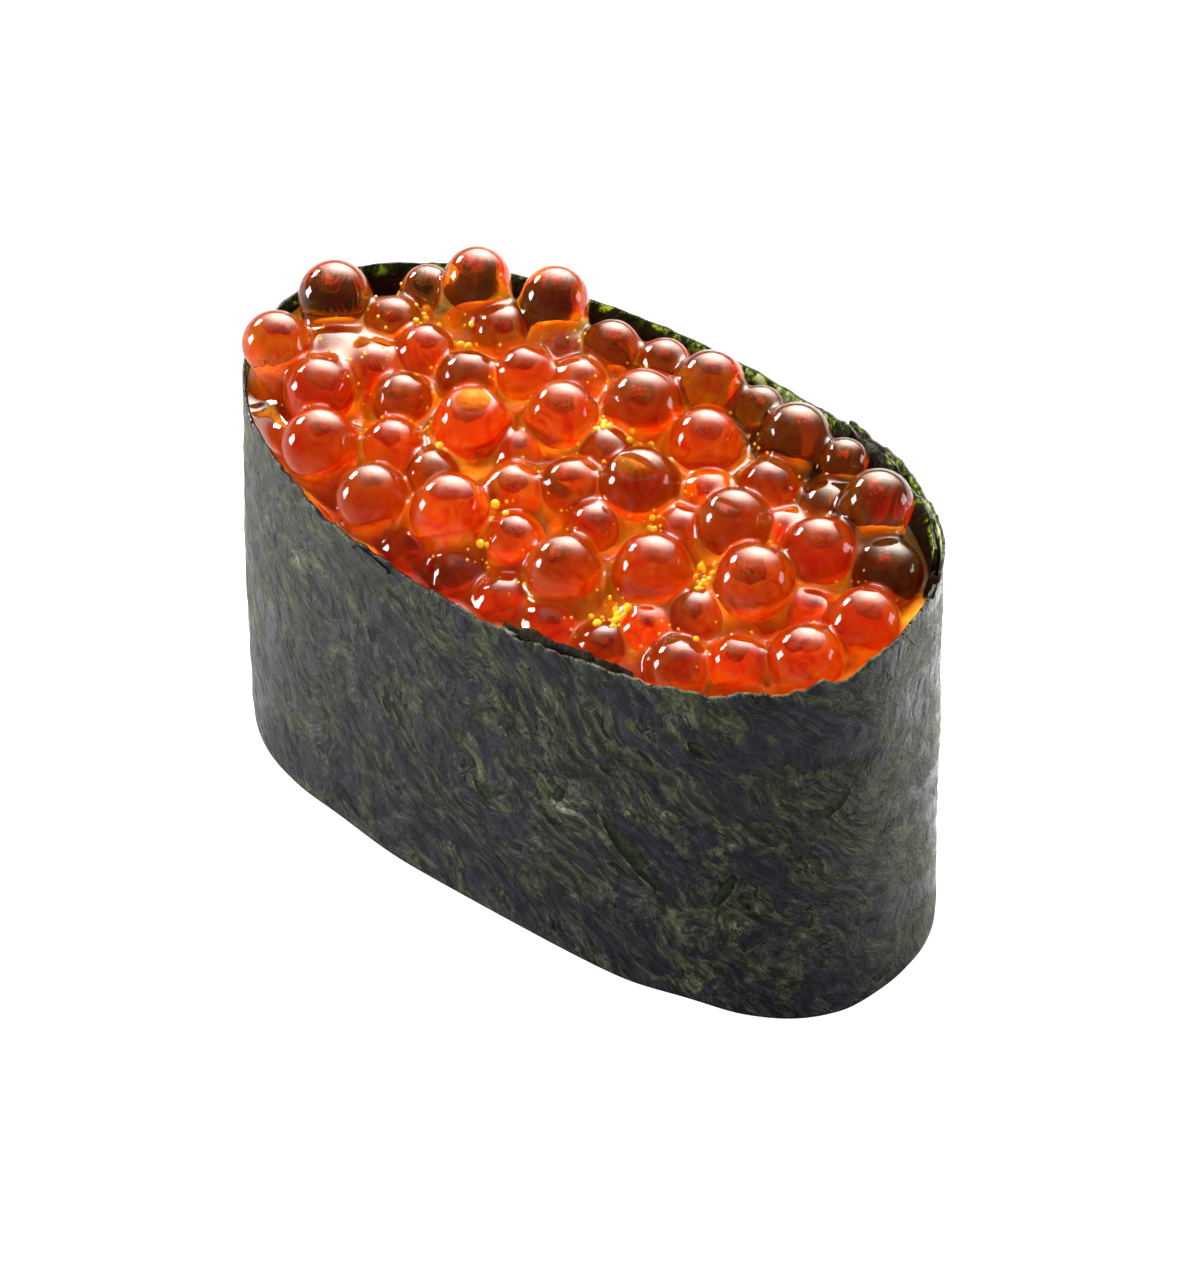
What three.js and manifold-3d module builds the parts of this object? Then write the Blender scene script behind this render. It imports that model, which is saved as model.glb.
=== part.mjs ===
// Gunkan sushi: a band of nori stood on edge round a block of pressed rice, with the cup that it
// leaves above the rice heaped with salmon roe in its own syrup.
// Millimetres, +Z up, X along the length. The origin is the middle of the underside.

import * as THREE from "three";
import { mergeVertices } from "three/addons/utils/BufferGeometryUtils.js";
import Module from "manifold-3d";

// ---------------------------------------------------------------- driving dimensions

// The band's outer face: a superellipse in plan, a little wider at the +X end.
const RIM_HALF_LENGTH = 27.1;
const RIM_HALF_WIDTH = 13.4;
const RIM_SQUARENESS = 2.4;
const RIM_TAPER = 0.055;
const BASE_HALF_LENGTH = 28.2;
const BASE_HALF_WIDTH = 13.1;
const BASE_SQUARENESS = 2.7;
const BASE_SHIFT = 0.2;

// The nori band is wrapped a little askew, so its rim is low at the front and high at the back.
const BAND_HEIGHT = 33;
const RIM_TILT = 2.7;
const RIM_SADDLE = 0.5;
const RIM_TEAR = 0.25;
const HEM_LIFT = 0.35;
const NORI_THICKNESS = 0.4;
const LAP_GAP = 0.15;
const LAP_START = 22;
const LAP_LENGTH = 42;
const LAP_RUN_IN = 30;
const LAP_MARGIN = 9;
const RIPPLE = 0.12;
const NORI_STEPS = 90;
const NORI_ROWS = 5;

// Contents keep this far from the nori.
const FIT_GAP = 0.3;
const OUTLINE_STEPS = 56;

// Pressed rice, seen from below.
const RICE_TOP = 21.7;
const RICE_UNDERSIDE = 0.8;
const GRAIN_LENGTH = 6.2;
const GRAIN_WIDTH = 2.9;
const GRAIN_SPACING = 4.9;
const GRAIN_ROW_SPACING = 4.2;
const GRAIN_PITCH = 0.35;
const GRAIN_SPAN = 0.98;
const GRAIN_LIFT = 0.95;
const GRAIN_SIDES = 5;
const GRAIN_RINGS = 4;
const GRAIN_SEED = 7;

// Roe. The heap's mean surface passes through the middles of the eggs that stand on top.
const ROE_BOTTOM = 22;
const HEAP_HEIGHT = 32.8;
const HEAP_TILT = 0.19;
const HEAP_FALL = 0.03;
const HEAP_CROWN = 1.0;
const SYRUP_DEPTH = 0.4;
const SYRUP_DROOP = 0.8;
const DROOP_FROM = [-8, 5];
const DROOP_TO = [4, 12];
const SYRUP_RINGS = [0.8, 0.55, 0.28];
const EGG_GAP = 0.05;
const SETTLING_ROUNDS = 60;
const SETTLING_SHARE = 1 / 3;
const FINE_EGG = 2.2;
const FINE_SIDES = 10;
const FINE_RINGS = 7;
const WALL_STEPS = 4;

// The eggs that show whole, by size: how far each group stands above the mean, and plan places.
const EGG_GROUPS = [
  {
    radius: 2.6,
    lift: 0,
    places: [[-24, 3], [-17, -8.5], [-8, -1.5], [-5, -8], [1, 6], [5, 0], [10, -5], [16.5, -2.5]],
  },
  {
    radius: 2.4,
    lift: 0.1,
    places: [
      [-19, -5], [-3, 2], [-10.5, -10], [4.5, -8], [3.5, 10], [6.5, 5.5], [11.5, 10], [12.5, 1],
      [18.5, 2], [24, 4.5], [24.5, 0], [22.5, -5],
    ],
  },
  {
    radius: 2.4,
    lift: 0.6,
    places: [[-24.5, -4], [-15, 8.5], [-9.5, 10.5], [21.5, 6.5]],
  },
  {
    radius: 2.0,
    lift: -0.5,
    places: [
      [-4.5, 9.5], [-19.5, 3.5], [-12.5, 7], [-15.5, 2.5], [-11.5, 2], [-8, 4.5], [-14, -2.5],
      [-12, -5], [-3, -4.5], [0.5, -2], [12, 5.5], [16, 7], [15, -10],
    ],
  },
  {
    radius: 1.6,
    lift: -0.2,
    places: [[8, 10.5], [16, 9.5]],
  },
  {
    radius: 1.7,
    lift: -1.6,
    places: [[-6.5, -11], [-2.5, -11], [1.5, -11], [5.5, -11], [9.5, -10.5]],
  },
];

// The smaller eggs that lie lower, in the widest gaps that those leave.
const FILL_LARGEST = 1.9;
const FILL_SMALLEST = 1.35;
const FILL_DROP = 0.7;
const FILL_GRID = 0.5;
const FILL_OVERLAP = 0.88;

const COLOURS = {
  nori: 0x2f3128,
  rice: 0xefe9dc,
  roe: 0xd4511a,
};

// ---------------------------------------------------------------- outline of the band

const radians = THREE.MathUtils.degToRad;
const smoothstep = THREE.MathUtils.smoothstep;
const signedPower = (value, power) => Math.sign(value) * Math.abs(value) ** power;

// A point of a superellipse of half sizes a and b, pushed outwards by offset along its normal.
function superellipse(angle, a, b, squareness, taper, offset) {
  const c = Math.cos(angle);
  const s = Math.sin(angle);
  const x = a * signedPower(c, 2 / squareness);
  const y = b * signedPower(s, 2 / squareness) * (1 + (taper * x) / a);
  const normal = new THREE.Vector2(
    signedPower(c, 2 - 2 / squareness) / a,
    signedPower(s, 2 - 2 / squareness) / b,
  ).normalize();
  return [x + offset * normal.x, y + offset * normal.y];
}

function rimHeight(angle) {
  return BAND_HEIGHT + RIM_TILT * Math.sin(angle) + RIM_SADDLE * Math.cos(2 * angle);
}

// A point on the band's outer face, rise running from 0 at the base to 1 at the rim.
function bandPoint(angle, rise, offset) {
  const base = superellipse(
    angle, BASE_HALF_LENGTH, BASE_HALF_WIDTH, BASE_SQUARENESS, 0, offset,
  );
  const rim = superellipse(
    angle, RIM_HALF_LENGTH, RIM_HALF_WIDTH, RIM_SQUARENESS, RIM_TAPER, offset,
  );
  return [
    THREE.MathUtils.lerp(base[0] + BASE_SHIFT, rim[0], rise),
    THREE.MathUtils.lerp(base[1] + BASE_SHIFT, rim[1], rise),
  ];
}

// Where the band laps over itself its first end lies inside, one thickness and a gap deeper.
// The contents step in a little before that end, to clear it.
function lapInset(angle) {
  const past = (angle * 180) / Math.PI - LAP_START + LAP_MARGIN;
  const turn = ((past % 360) + 360) % 360 - LAP_MARGIN;
  const run = 1 - smoothstep(turn, LAP_LENGTH, LAP_LENGTH + LAP_RUN_IN);
  return run * (NORI_THICKNESS + LAP_GAP);
}

// The contents' side, at a height: inside the nori and clear of it.
function contentsPoint(angle, height) {
  const inset = NORI_THICKNESS + FIT_GAP + lapInset(angle);
  const [x, y] = bandPoint(angle, height / rimHeight(angle), -inset);
  return new THREE.Vector3(x, y, height);
}

// ---------------------------------------------------------------- closed surfaces

function closedGeometry(points, triangles) {
  const geometry = new THREE.BufferGeometry();
  const positions = points.flatMap((p) => [p.x, p.y, p.z]);
  geometry.setAttribute("position", new THREE.Float32BufferAttribute(positions, 3));
  geometry.setIndex(triangles);
  return geometry;
}

// A body skinned over closed loops of equal count, listed from below upwards and closed at both
// ends by a fan. Each loop runs counterclockwise seen from above.
function skinLoops(loops, bottom, top) {
  const count = loops[0].length;
  const points = [...loops.flat(), bottom, top];
  const triangles = [];
  for (let k = 0; k < count; k += 1) {
    const next = (k + 1) % count;
    for (let row = 0; row + 1 < loops.length; row += 1) {
      const low = row * count;
      const high = low + count;
      triangles.push(low + k, low + next, high + next, low + k, high + next, high + k);
    }
    const last = (loops.length - 1) * count;
    triangles.push(points.length - 2, next, k);
    triangles.push(points.length - 1, last + k, last + next);
  }
  return closedGeometry(points, triangles);
}

function contentsLoop(height) {
  const loop = [];
  for (let k = 0; k < OUTLINE_STEPS; k += 1) {
    loop.push(contentsPoint((2 * Math.PI * k) / OUTLINE_STEPS, height));
  }
  return loop;
}

// A block that fills the band from one height to another.
function contentsBlock(bottom, top) {
  const loops = [bottom, (bottom + top) / 2, top].map(contentsLoop);
  return skinLoops(loops, new THREE.Vector3(0, 0, bottom), new THREE.Vector3(0, 0, top));
}

// ---------------------------------------------------------------- joining and cutting

const wasm = await Module();
wasm.setup();

function toSolid(geometry) {
  const bare = geometry.clone();
  bare.deleteAttribute("normal");
  bare.deleteAttribute("uv");
  const merged = mergeVertices(bare, 1e-5);
  return new wasm.Manifold(new wasm.Mesh({
    numProp: 3,
    vertProperties: new Float32Array(merged.attributes.position.array),
    triVerts: new Uint32Array(merged.index.array),
  }));
}

function toGeometry(solid) {
  const mesh = solid.getMesh();
  const geometry = new THREE.BufferGeometry();
  geometry.setAttribute("position", new THREE.BufferAttribute(mesh.vertProperties, 3));
  geometry.setIndex(new THREE.BufferAttribute(mesh.triVerts, 1));
  return geometry;
}

function fuse(core, pieces) {
  return pieces.reduce((whole, piece) => whole.add(toSolid(piece)), toSolid(core));
}

// ---------------------------------------------------------------- nori

// Soft standing ripples of the damp sheet, as an offset of both faces.
function ripple(angle, rise) {
  const slow = Math.sin(5 * angle + 3 * rise + 0.6);
  const quick = Math.sin(11 * angle - 5 * rise + 2.1);
  return RIPPLE * (0.6 * slow + 0.4 * quick);
}

function rimEdge(angle) {
  const tear = Math.sin(17 * angle + 1) * Math.sin(6 * angle + 0.4);
  return rimHeight(angle) + RIM_TEAR * tear;
}

function hemEdge(angle) {
  return HEM_LIFT * Math.max(0, Math.sin(7 * angle + 2.5)) ** 2;
}

// The band is one strip swept round from its inner end to its lapped outer end.
function noriGeometry() {
  const points = [];
  const triangles = [];
  const column = 2 * (NORI_ROWS + 1);
  const sweep = 360 + LAP_LENGTH;
  for (let step = 0; step <= NORI_STEPS; step += 1) {
    const along = (sweep * step) / NORI_STEPS;
    const angle = radians(LAP_START + along);
    const depth = along > 180 ? 0 : lapInset(angle);
    for (let side = 0; side < 2; side += 1) {
      for (let row = 0; row <= NORI_ROWS; row += 1) {
        const rise = (side === 0 ? row : NORI_ROWS - row) / NORI_ROWS;
        const offset = ripple(angle, rise) - depth - side * NORI_THICKNESS;
        const [x, y] = bandPoint(angle, rise, offset);
        points.push(new THREE.Vector3(x, y, THREE.MathUtils.lerp(hemEdge(angle), rimEdge(angle), rise)));
      }
    }
  }
  for (let step = 0; step < NORI_STEPS; step += 1) {
    for (let k = 0; k < column; k += 1) {
      const here = step * column + k;
      const above = step * column + ((k + 1) % column);
      triangles.push(here, here + column, above + column, here, above + column, above);
    }
  }
  for (const [start, flip] of [[0, false], [NORI_STEPS * column, true]]) {
    for (let row = 0; row < NORI_ROWS; row += 1) {
      const outer = start + row;
      const inner = start + column - 1 - row;
      const quad = [outer, outer + 1, inner - 1, outer, inner - 1, inner];
      triangles.push(...(flip ? quad.reverse() : quad));
    }
  }
  return closedGeometry(points, triangles);
}

// ---------------------------------------------------------------- rice

// A small repeatable random number generator, 0 to 1.
function seededRandom(seed) {
  let state = seed;
  return () => {
    state = (state * 1664525 + 1013904223) % 4294967296;
    return state / 4294967296;
  };
}

function riceGrain(x, y, heading, pitch) {
  const grain = new THREE.SphereGeometry(GRAIN_WIDTH / 2, GRAIN_SIDES, GRAIN_RINGS);
  grain.rotateZ(Math.PI / 2);
  grain.scale(GRAIN_LENGTH / GRAIN_WIDTH, 1, 1);
  grain.rotateY(pitch);
  grain.rotateZ(heading);
  grain.translate(x, y, GRAIN_LIFT);
  return grain;
}

// Grains lie on a staggered grid over the underside, each turned its own way.
function riceGrains() {
  const random = seededRandom(GRAIN_SEED);
  const grains = [];
  const rows = Math.floor(BASE_HALF_WIDTH / GRAIN_ROW_SPACING);
  const columns = Math.floor(BASE_HALF_LENGTH / GRAIN_SPACING);
  for (let row = -rows; row <= rows; row += 1) {
    for (let column = -columns; column <= columns; column += 1) {
      const heading = random() * Math.PI;
      const pitch = (random() - 0.5) * GRAIN_PITCH;
      const x = (column + (row % 2) / 2) * GRAIN_SPACING;
      const y = row * GRAIN_ROW_SPACING;
      const span = Math.hypot(x / BASE_HALF_LENGTH, y / BASE_HALF_WIDTH);
      if (span < GRAIN_SPAN) {
        grains.push(riceGrain(x, y, heading, pitch));
      }
    }
  }
  return grains;
}

// The block and its grains are pressed flat on the board and against the band.
function riceGeometry() {
  const block = contentsBlock(RICE_UNDERSIDE, RICE_TOP);
  const mould = toSolid(contentsBlock(0, RICE_TOP));
  return toGeometry(fuse(block, riceGrains()).intersect(mould));
}

// ---------------------------------------------------------------- roe

function heapHeight(x, y) {
  const crownX = Math.max(0, 1 - (x / RIM_HALF_LENGTH) ** 2);
  const crownY = Math.max(0, 1 - (y / RIM_HALF_WIDTH) ** 2);
  return HEAP_HEIGHT + HEAP_TILT * y - HEAP_FALL * x + HEAP_CROWN * crownX * crownY;
}

function syrupHeight(x, y) {
  const along = smoothstep(x, DROOP_FROM[0], DROOP_TO[0]);
  const across = smoothstep(y, DROOP_FROM[1], DROOP_TO[1]);
  return heapHeight(x, y) - SYRUP_DEPTH - SYRUP_DROOP * along * across;
}

// How full the rim's superellipse is at a plan point, 1 on the outline, and its slope there.
function outlineField(x, y) {
  const a = RIM_HALF_LENGTH;
  const b = RIM_HALF_WIDTH * (1 + (RIM_TAPER * x) / a);
  const n = RIM_SQUARENESS;
  const slopeX = (n * signedPower(x / a, n - 1)) / a;
  const slopeY = (n * signedPower(y / b, n - 1)) / b;
  return {
    full: Math.abs(x / a) ** n + Math.abs(y / b) ** n,
    slope: Math.hypot(slopeX, slopeY) + 1e-6,
    slopeX,
    slopeY,
    angle: Math.atan2(signedPower(y / b, n / 2), signedPower(x / a, n / 2)),
  };
}

// How far a plan point is from the nori's inner face, which way is inwards, and the rim there.
// The foot on the outline is found by stepping down the field a few times.
function wallAt(x, y) {
  let footX = x;
  let footY = y;
  for (let step = 0; step < WALL_STEPS; step += 1) {
    const field = outlineField(footX, footY);
    const stride = (1 - field.full) / field.slope ** 2;
    footX += stride * field.slopeX;
    footY += stride * field.slopeY;
  }
  const foot = outlineField(footX, footY);
  const inwardX = -foot.slopeX / foot.slope;
  const inwardY = -foot.slopeY / foot.slope;
  const depth = (x - footX) * inwardX + (y - footY) * inwardY;
  return {
    distance: depth - NORI_THICKNESS - lapInset(foot.angle),
    inward: [inwardX, inwardY],
    rim: rimHeight(foot.angle),
  };
}

function placedEggs() {
  return EGG_GROUPS.flatMap(({ radius, lift, places }) => (
    places.map(([x, y]) => ({ x, y, z: heapHeight(x, y) + lift, radius }))
  ));
}

// The widest plan gap left between the eggs and the wall, as a place and the radius it takes.
function widestGap(eggs) {
  let best = { room: 0 };
  for (let x = -RIM_HALF_LENGTH; x <= RIM_HALF_LENGTH; x += FILL_GRID) {
    for (let y = -RIM_HALF_WIDTH; y <= RIM_HALF_WIDTH; y += FILL_GRID) {
      const fromEggs = eggs.map((egg) => Math.hypot(egg.x - x, egg.y - y) - FILL_OVERLAP * egg.radius);
      const room = Math.min(wallAt(x, y).distance - FIT_GAP, ...fromEggs);
      if (room > best.room) {
        best = { x, y, room };
      }
    }
  }
  return best;
}

function filledEggs() {
  const eggs = placedEggs();
  let gap = widestGap(eggs);
  while (gap.room > FILL_SMALLEST) {
    const { x, y, room } = gap;
    eggs.push({ x, y, z: heapHeight(x, y) - FILL_DROP, radius: Math.min(room, FILL_LARGEST) });
    gap = widestGap(eggs);
  }
  return eggs;
}

// The step that clears an egg from the eggs that press into it, a share of each overlap.
function eggPush(egg, eggs) {
  const step = new THREE.Vector3();
  for (const other of eggs) {
    const apart = new THREE.Vector3(egg.x - other.x, egg.y - other.y, egg.z - other.z);
    const overlap = egg.radius + other.radius + EGG_GAP - apart.length();
    if (other !== egg && overlap > 0) {
      step.addScaledVector(apart.normalize(), overlap * SETTLING_SHARE);
    }
  }
  return step;
}

// The step that clears an egg from the wall, or from the rim's edge where it lies above that.
function wallPush(egg) {
  const wall = wallAt(egg.x, egg.y);
  const above = Math.max(0, egg.z - wall.rim);
  const reach = Math.hypot(wall.distance, above);
  const press = Math.max(0, egg.radius + FIT_GAP - reach) / reach;
  const sideways = press * wall.distance;
  return new THREE.Vector3(wall.inward[0] * sideways, wall.inward[1] * sideways, press * above);
}

function moved(egg, step) {
  return { ...egg, x: egg.x + step.x, y: egg.y + step.y, z: egg.z + step.z };
}

function settledEggs() {
  let eggs = filledEggs();
  for (let round = 0; round < SETTLING_ROUNDS; round += 1) {
    eggs = eggs.map((egg) => moved(egg, eggPush(egg, eggs)));
    eggs = eggs.map((egg) => moved(egg, wallPush(egg)));
  }
  return eggs;
}

// The syrup that the eggs lie in: flat on the rice, up the wall, and over in rings to the middle.
function syrupBlock() {
  const floor = contentsLoop(ROE_BOTTOM);
  const edge = floor.map((p, k) => (
    contentsPoint((2 * Math.PI * k) / OUTLINE_STEPS, syrupHeight(p.x, p.y))
  ));
  const rings = SYRUP_RINGS.map((share) => edge.map((p) => {
    const x = p.x * share;
    const y = p.y * share;
    return new THREE.Vector3(x, y, syrupHeight(x, y));
  }));
  const middle = new THREE.Vector3(0, 0, syrupHeight(0, 0));
  return skinLoops([floor, edge, ...rings], new THREE.Vector3(0, 0, ROE_BOTTOM), middle);
}

// Large eggs are latitude balls with their poles up and down, small ones plain icospheres.
function eggBall({ x, y, z, radius }) {
  const fine = radius > FINE_EGG;
  const ball = fine
    ? new THREE.SphereGeometry(radius, FINE_SIDES, FINE_RINGS)
    : new THREE.IcosahedronGeometry(radius, 1);
  ball.rotateX(fine ? Math.PI / 2 : 0);
  ball.translate(x, y, z);
  return ball;
}

function roeGeometry() {
  return toGeometry(fuse(syrupBlock(), settledEggs().map(eggBall)));
}

// ---------------------------------------------------------------- the part

function finish(color, roughness) {
  return new THREE.MeshStandardMaterial({ color, roughness, metalness: 0 });
}

function namedMesh(name, geometry, material) {
  const mesh = new THREE.Mesh(geometry, material);
  mesh.name = name;
  return mesh;
}

const sushi = new THREE.Group();
sushi.add(namedMesh("nori_band", noriGeometry(), finish(COLOURS.nori, 0.55)));
sushi.add(namedMesh("pressed_rice", riceGeometry(), finish(COLOURS.rice, 0.6)));
sushi.add(namedMesh("salmon_roe", roeGeometry(), finish(COLOURS.roe, 0.12)));

export default sushi;
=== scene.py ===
"""Gunkan sushi: pressed rice with a band of nori stood on edge round it, heaped with salmon roe in syrup.

Lengths are in millimetres up to mesh_piece, which writes metres. +Z is up, X runs along the length.
"""

from math import pi, radians

import bpy
import numpy as np
from mathutils import Matrix, Vector


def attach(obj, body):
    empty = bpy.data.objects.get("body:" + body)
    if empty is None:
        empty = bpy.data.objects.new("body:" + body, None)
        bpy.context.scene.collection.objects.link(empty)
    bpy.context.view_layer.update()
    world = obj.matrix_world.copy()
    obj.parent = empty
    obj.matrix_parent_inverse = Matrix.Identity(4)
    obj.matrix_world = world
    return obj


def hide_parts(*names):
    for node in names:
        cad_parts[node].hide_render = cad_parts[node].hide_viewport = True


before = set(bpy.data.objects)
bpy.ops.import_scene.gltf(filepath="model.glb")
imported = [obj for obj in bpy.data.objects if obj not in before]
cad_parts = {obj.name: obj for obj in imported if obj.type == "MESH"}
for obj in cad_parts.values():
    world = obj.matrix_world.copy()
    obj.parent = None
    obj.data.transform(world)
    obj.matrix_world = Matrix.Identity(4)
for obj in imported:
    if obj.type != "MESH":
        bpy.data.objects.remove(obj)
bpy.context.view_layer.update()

# ---------------------------------------------------------------- pressed rice
# Short-grain rice, boiled, dressed with vinegar and pressed by hand into a block that fills the
# lower two thirds of the nori band. It shows from below: plump white grains, slightly see-through,
# lying every way and pressed flat where the block stands on the board.

MM = 0.001

# The nori band's outer face, which the rice takes its sides from: a superellipse in plan at the foot and
# another at the rim, which is a little wider at the +X end, higher at the back and lifted at both ends.
RIM_HALF_LENGTH = 27.1
RIM_HALF_WIDTH = 13.4
RIM_SQUARENESS = 2.4
RIM_TAPER = 0.055
BASE_HALF_LENGTH = 28.2
BASE_HALF_WIDTH = 13.1
BASE_SQUARENESS = 2.7
BASE_SHIFT = 0.2
BAND_HEIGHT = 33
RIM_TILT = 2.7
RIM_SADDLE = 0.5
NORI_THICKNESS = 0.4
FIT_GAP = 0.3
LAP_GAP = 0.15
# Where the band laps over its own first end, in degrees round it.
LAP_START = 22
LAP_LENGTH = 42
LAP_RUN_IN = 30
LAP_MARGIN = 9
NORI_RIPPLE = 0.12

# The block's rows are heights with the share of the way out to the band. Its grains are a little
# smaller than loose ones, since they are pressed into one another.
RICE_TOP = 21.7
RICE_UNDERSIDE = 0.8
RICE_COLUMNS = 120
RICE_ROWS = [(RICE_UNDERSIDE, 0), (RICE_UNDERSIDE, 0.97), (2, 1), (12, 1), (RICE_TOP, 1), (RICE_TOP, 0)]
GRAIN_LENGTH = 6.0
GRAIN_WIDTH = 2.7
GRAIN_SPACING = 3.6
GRAIN_ROW_SPACING = 2.7
GRAIN_PITCH = 0.5
GRAIN_BLUNT = 0.12
GRAIN_LIFT = 1.0
GRAIN_LIFT_SPREAD = 0.5
GRAIN_REACH = 0.9
GRAIN_MOULD = 1.0
GRAIN_SEED = 7
RICE_TONES = [(0, "#ddd2bb"), (1, "#efe8d8")]


def signed_power(value, power):
    """The value's size to a power, with the value's sign."""
    return np.sign(value) * np.abs(value) ** power


def superellipse(angle, half_length, half_width, squareness, taper, offset):
    """Plan curve |x/a|^n + |y/b|^n = 1, widened along x by taper, pushed out by offset along its normal."""
    c, s = np.cos(angle), np.sin(angle)
    x = half_length * signed_power(c, 2 / squareness)
    y = half_width * signed_power(s, 2 / squareness) * (1 + taper * x / half_length)
    out_x = signed_power(c, 2 - 2 / squareness) / half_length
    out_y = signed_power(s, 2 - 2 / squareness) / half_width
    size = np.hypot(out_x, out_y)
    return x + offset * out_x / size, y + offset * out_y / size


def smoothstep(value, low, high):
    """0 up to low, 1 from high on, and the cubic 3t^2 - 2t^3 in between."""
    share = np.clip((value - low) / (high - low), 0, 1)
    return share * share * (3 - 2 * share)


def rim_height(angle):
    """The rim's mean line: one wave tilts it across the width, a second lifts both ends a little."""
    return BAND_HEIGHT + RIM_TILT * np.sin(angle) + RIM_SADDLE * np.cos(2 * angle)


def band_point(angle, rise, offset):
    """A plan point of the band's outer face, blended from the base outline at rise 0 to the rim's at 1."""
    base = superellipse(angle, BASE_HALF_LENGTH, BASE_HALF_WIDTH, BASE_SQUARENESS, 0, offset)
    rim = superellipse(angle, RIM_HALF_LENGTH, RIM_HALF_WIDTH, RIM_SQUARENESS, RIM_TAPER, offset)
    x = (base[0] + BASE_SHIFT) * (1 - rise) + rim[0] * rise
    y = (base[1] + BASE_SHIFT) * (1 - rise) + rim[1] * rise
    return x, y


def lap_inset(angle):
    """How much further in the contents lie where the band laps over its own first end."""
    turn = (np.degrees(angle) - LAP_START + LAP_MARGIN) % 360 - LAP_MARGIN
    return (1 - smoothstep(turn, LAP_LENGTH, LAP_LENGTH + LAP_RUN_IN)) * (NORI_THICKNESS + LAP_GAP)


def ripple(angle, rise):
    """Standing waves of the damp sheet, 5 and 11 of them round it, as an offset of both its faces."""
    slow = np.sin(5 * angle + 3 * rise + 0.6)
    quick = np.sin(11 * angle - 5 * rise + 2.1)
    return NORI_RIPPLE * (0.6 * slow + 0.4 * quick)


def wall_point(angle, height, into_nori):
    """A plan point on the nori's inner face at a height, moved outwards into the sheet by into_nori."""
    rise = height / rim_height(angle)
    return band_point(angle, rise, ripple(angle, rise) + into_nori - NORI_THICKNESS - lap_inset(angle))


def grid_faces(rows, columns, round_trip):
    """Four-sided faces over a grid of points held row by row, joined past the last column if round_trip."""
    row, column = np.mgrid[0:rows - 1, 0:columns - (0 if round_trip else 1)]
    across = (column + 1) % columns
    this_row, next_row = row * columns, (row + 1) * columns
    corners = [this_row + column, this_row + across, next_row + across, next_row + column]
    return np.stack(corners, -1).reshape(-1, 4)


def welded(points, faces):
    """Points that coincide made one. A four-sided face that lost a corner is a triangle, marked by -1."""
    _, first, merged = np.unique(np.round(points, 5), axis=0, return_index=True, return_inverse=True)
    faces = merged.reshape(-1)[faces]
    repeats = faces == np.roll(faces, -1, axis=1)
    whole = faces[~repeats.any(1)]
    shrunk = faces[repeats.sum(1) == 1]
    turn = np.argmax(shrunk == np.roll(shrunk, -1, axis=1), axis=1)
    order = (turn[:, None] + np.arange(1, 4)) % 4
    triangles = np.take_along_axis(shrunk, order, 1)
    marked = np.hstack([triangles, np.full((len(triangles), 1), -1)])
    return points[first], np.vstack([whole, marked])


def mesh_piece(name, points, faces, material, attributes=None):
    """A smooth mesh from points in millimetres, its faces turned outwards by the sign of its volume."""
    corner = points[np.abs(faces[:, :3])]
    volume = np.einsum("ij,ij->i", corner[:, 0], np.cross(corner[:, 1], corner[:, 2])).sum()
    if volume < 0:
        faces = np.where(faces[:, 3:] < 0, faces[:, [2, 1, 0, 3]], faces[:, [3, 2, 1, 0]])
    mesh = bpy.data.meshes.new(name)
    sides = [face[:3] if face[3] < 0 else face for face in faces.tolist()]
    mesh.from_pydata((points * MM).tolist(), [], sides)
    mesh.shade_smooth()
    mesh.materials.append(material)
    for label, values in (attributes or {}).items():
        layer = mesh.attributes.new(label, "FLOAT", "POINT")
        layer.data.foreach_set("value", np.asarray(values, np.float32))
    piece = bpy.data.objects.new(name, mesh)
    bpy.context.scene.collection.objects.link(piece)
    return piece


def copies(points, faces, places):
    """One form repeated: places is an array of (form points moved to each place), faces are numbered on."""
    count = len(points)
    steps = np.arange(len(places))[:, None, None] * count
    repeated = np.where(faces[None] < 0, -1, faces[None] + steps)
    return places.reshape(-1, 3), repeated.reshape(-1, 4)


def ball_form(rings, sides):
    """A unit ball: latitude runs from pole to pole over the rings, longitude right round over the sides."""
    latitude, longitude = np.linspace(0, pi, rings + 1)[:, None], np.arange(sides) * 2 * pi / sides
    across, up = np.sin(latitude), np.cos(latitude) + 0 * longitude
    points = np.stack([across * np.cos(longitude), across * np.sin(longitude), up], -1)
    points[[0, -1], :, :2] = 0
    return welded(points.reshape(-1, 3), grid_faces(rings + 1, sides, True))


def linear(code):
    """An sRGB hex colour as linear RGBA."""
    share = np.array([int(code[k:k + 2], 16) for k in (1, 3, 5)]) / 255
    value = np.where(share <= 0.04045, share / 12.92, ((share + 0.055) / 1.055) ** 2.4)
    return (*value.tolist(), 1.0)


def node(tree, kind, inputs=None, stops=None, **settings):
    """Adds a node and sets its properties, its colour stops and its inputs, each a value or a link."""
    made = tree.nodes.new(kind)
    for label, value in settings.items():
        setattr(made, label, value)
    for place, code in stops or ():
        ends = made.color_ramp.elements
        spare = [stop for stop in ends if stop.position == place]
        stop = spare[0] if spare else ends.new(place)
        stop.color = linear(code)
    for label, value in (inputs or {}).items():
        if isinstance(value, bpy.types.NodeSocket):
            tree.links.new(value, made.inputs[label])
        else:
            made.inputs[label].default_value = value
    return made


def new_material(name, inputs):
    """A material with one Principled shader, and its node tree."""
    material = bpy.data.materials.new(name)
    material.use_nodes = True
    tree = material.node_tree
    tree.nodes.clear()
    shader = node(tree, "ShaderNodeBsdfPrincipled", inputs)
    output = node(tree, "ShaderNodeOutputMaterial", {"Surface": shader.outputs[0]})
    return material, tree, shader, output


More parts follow.
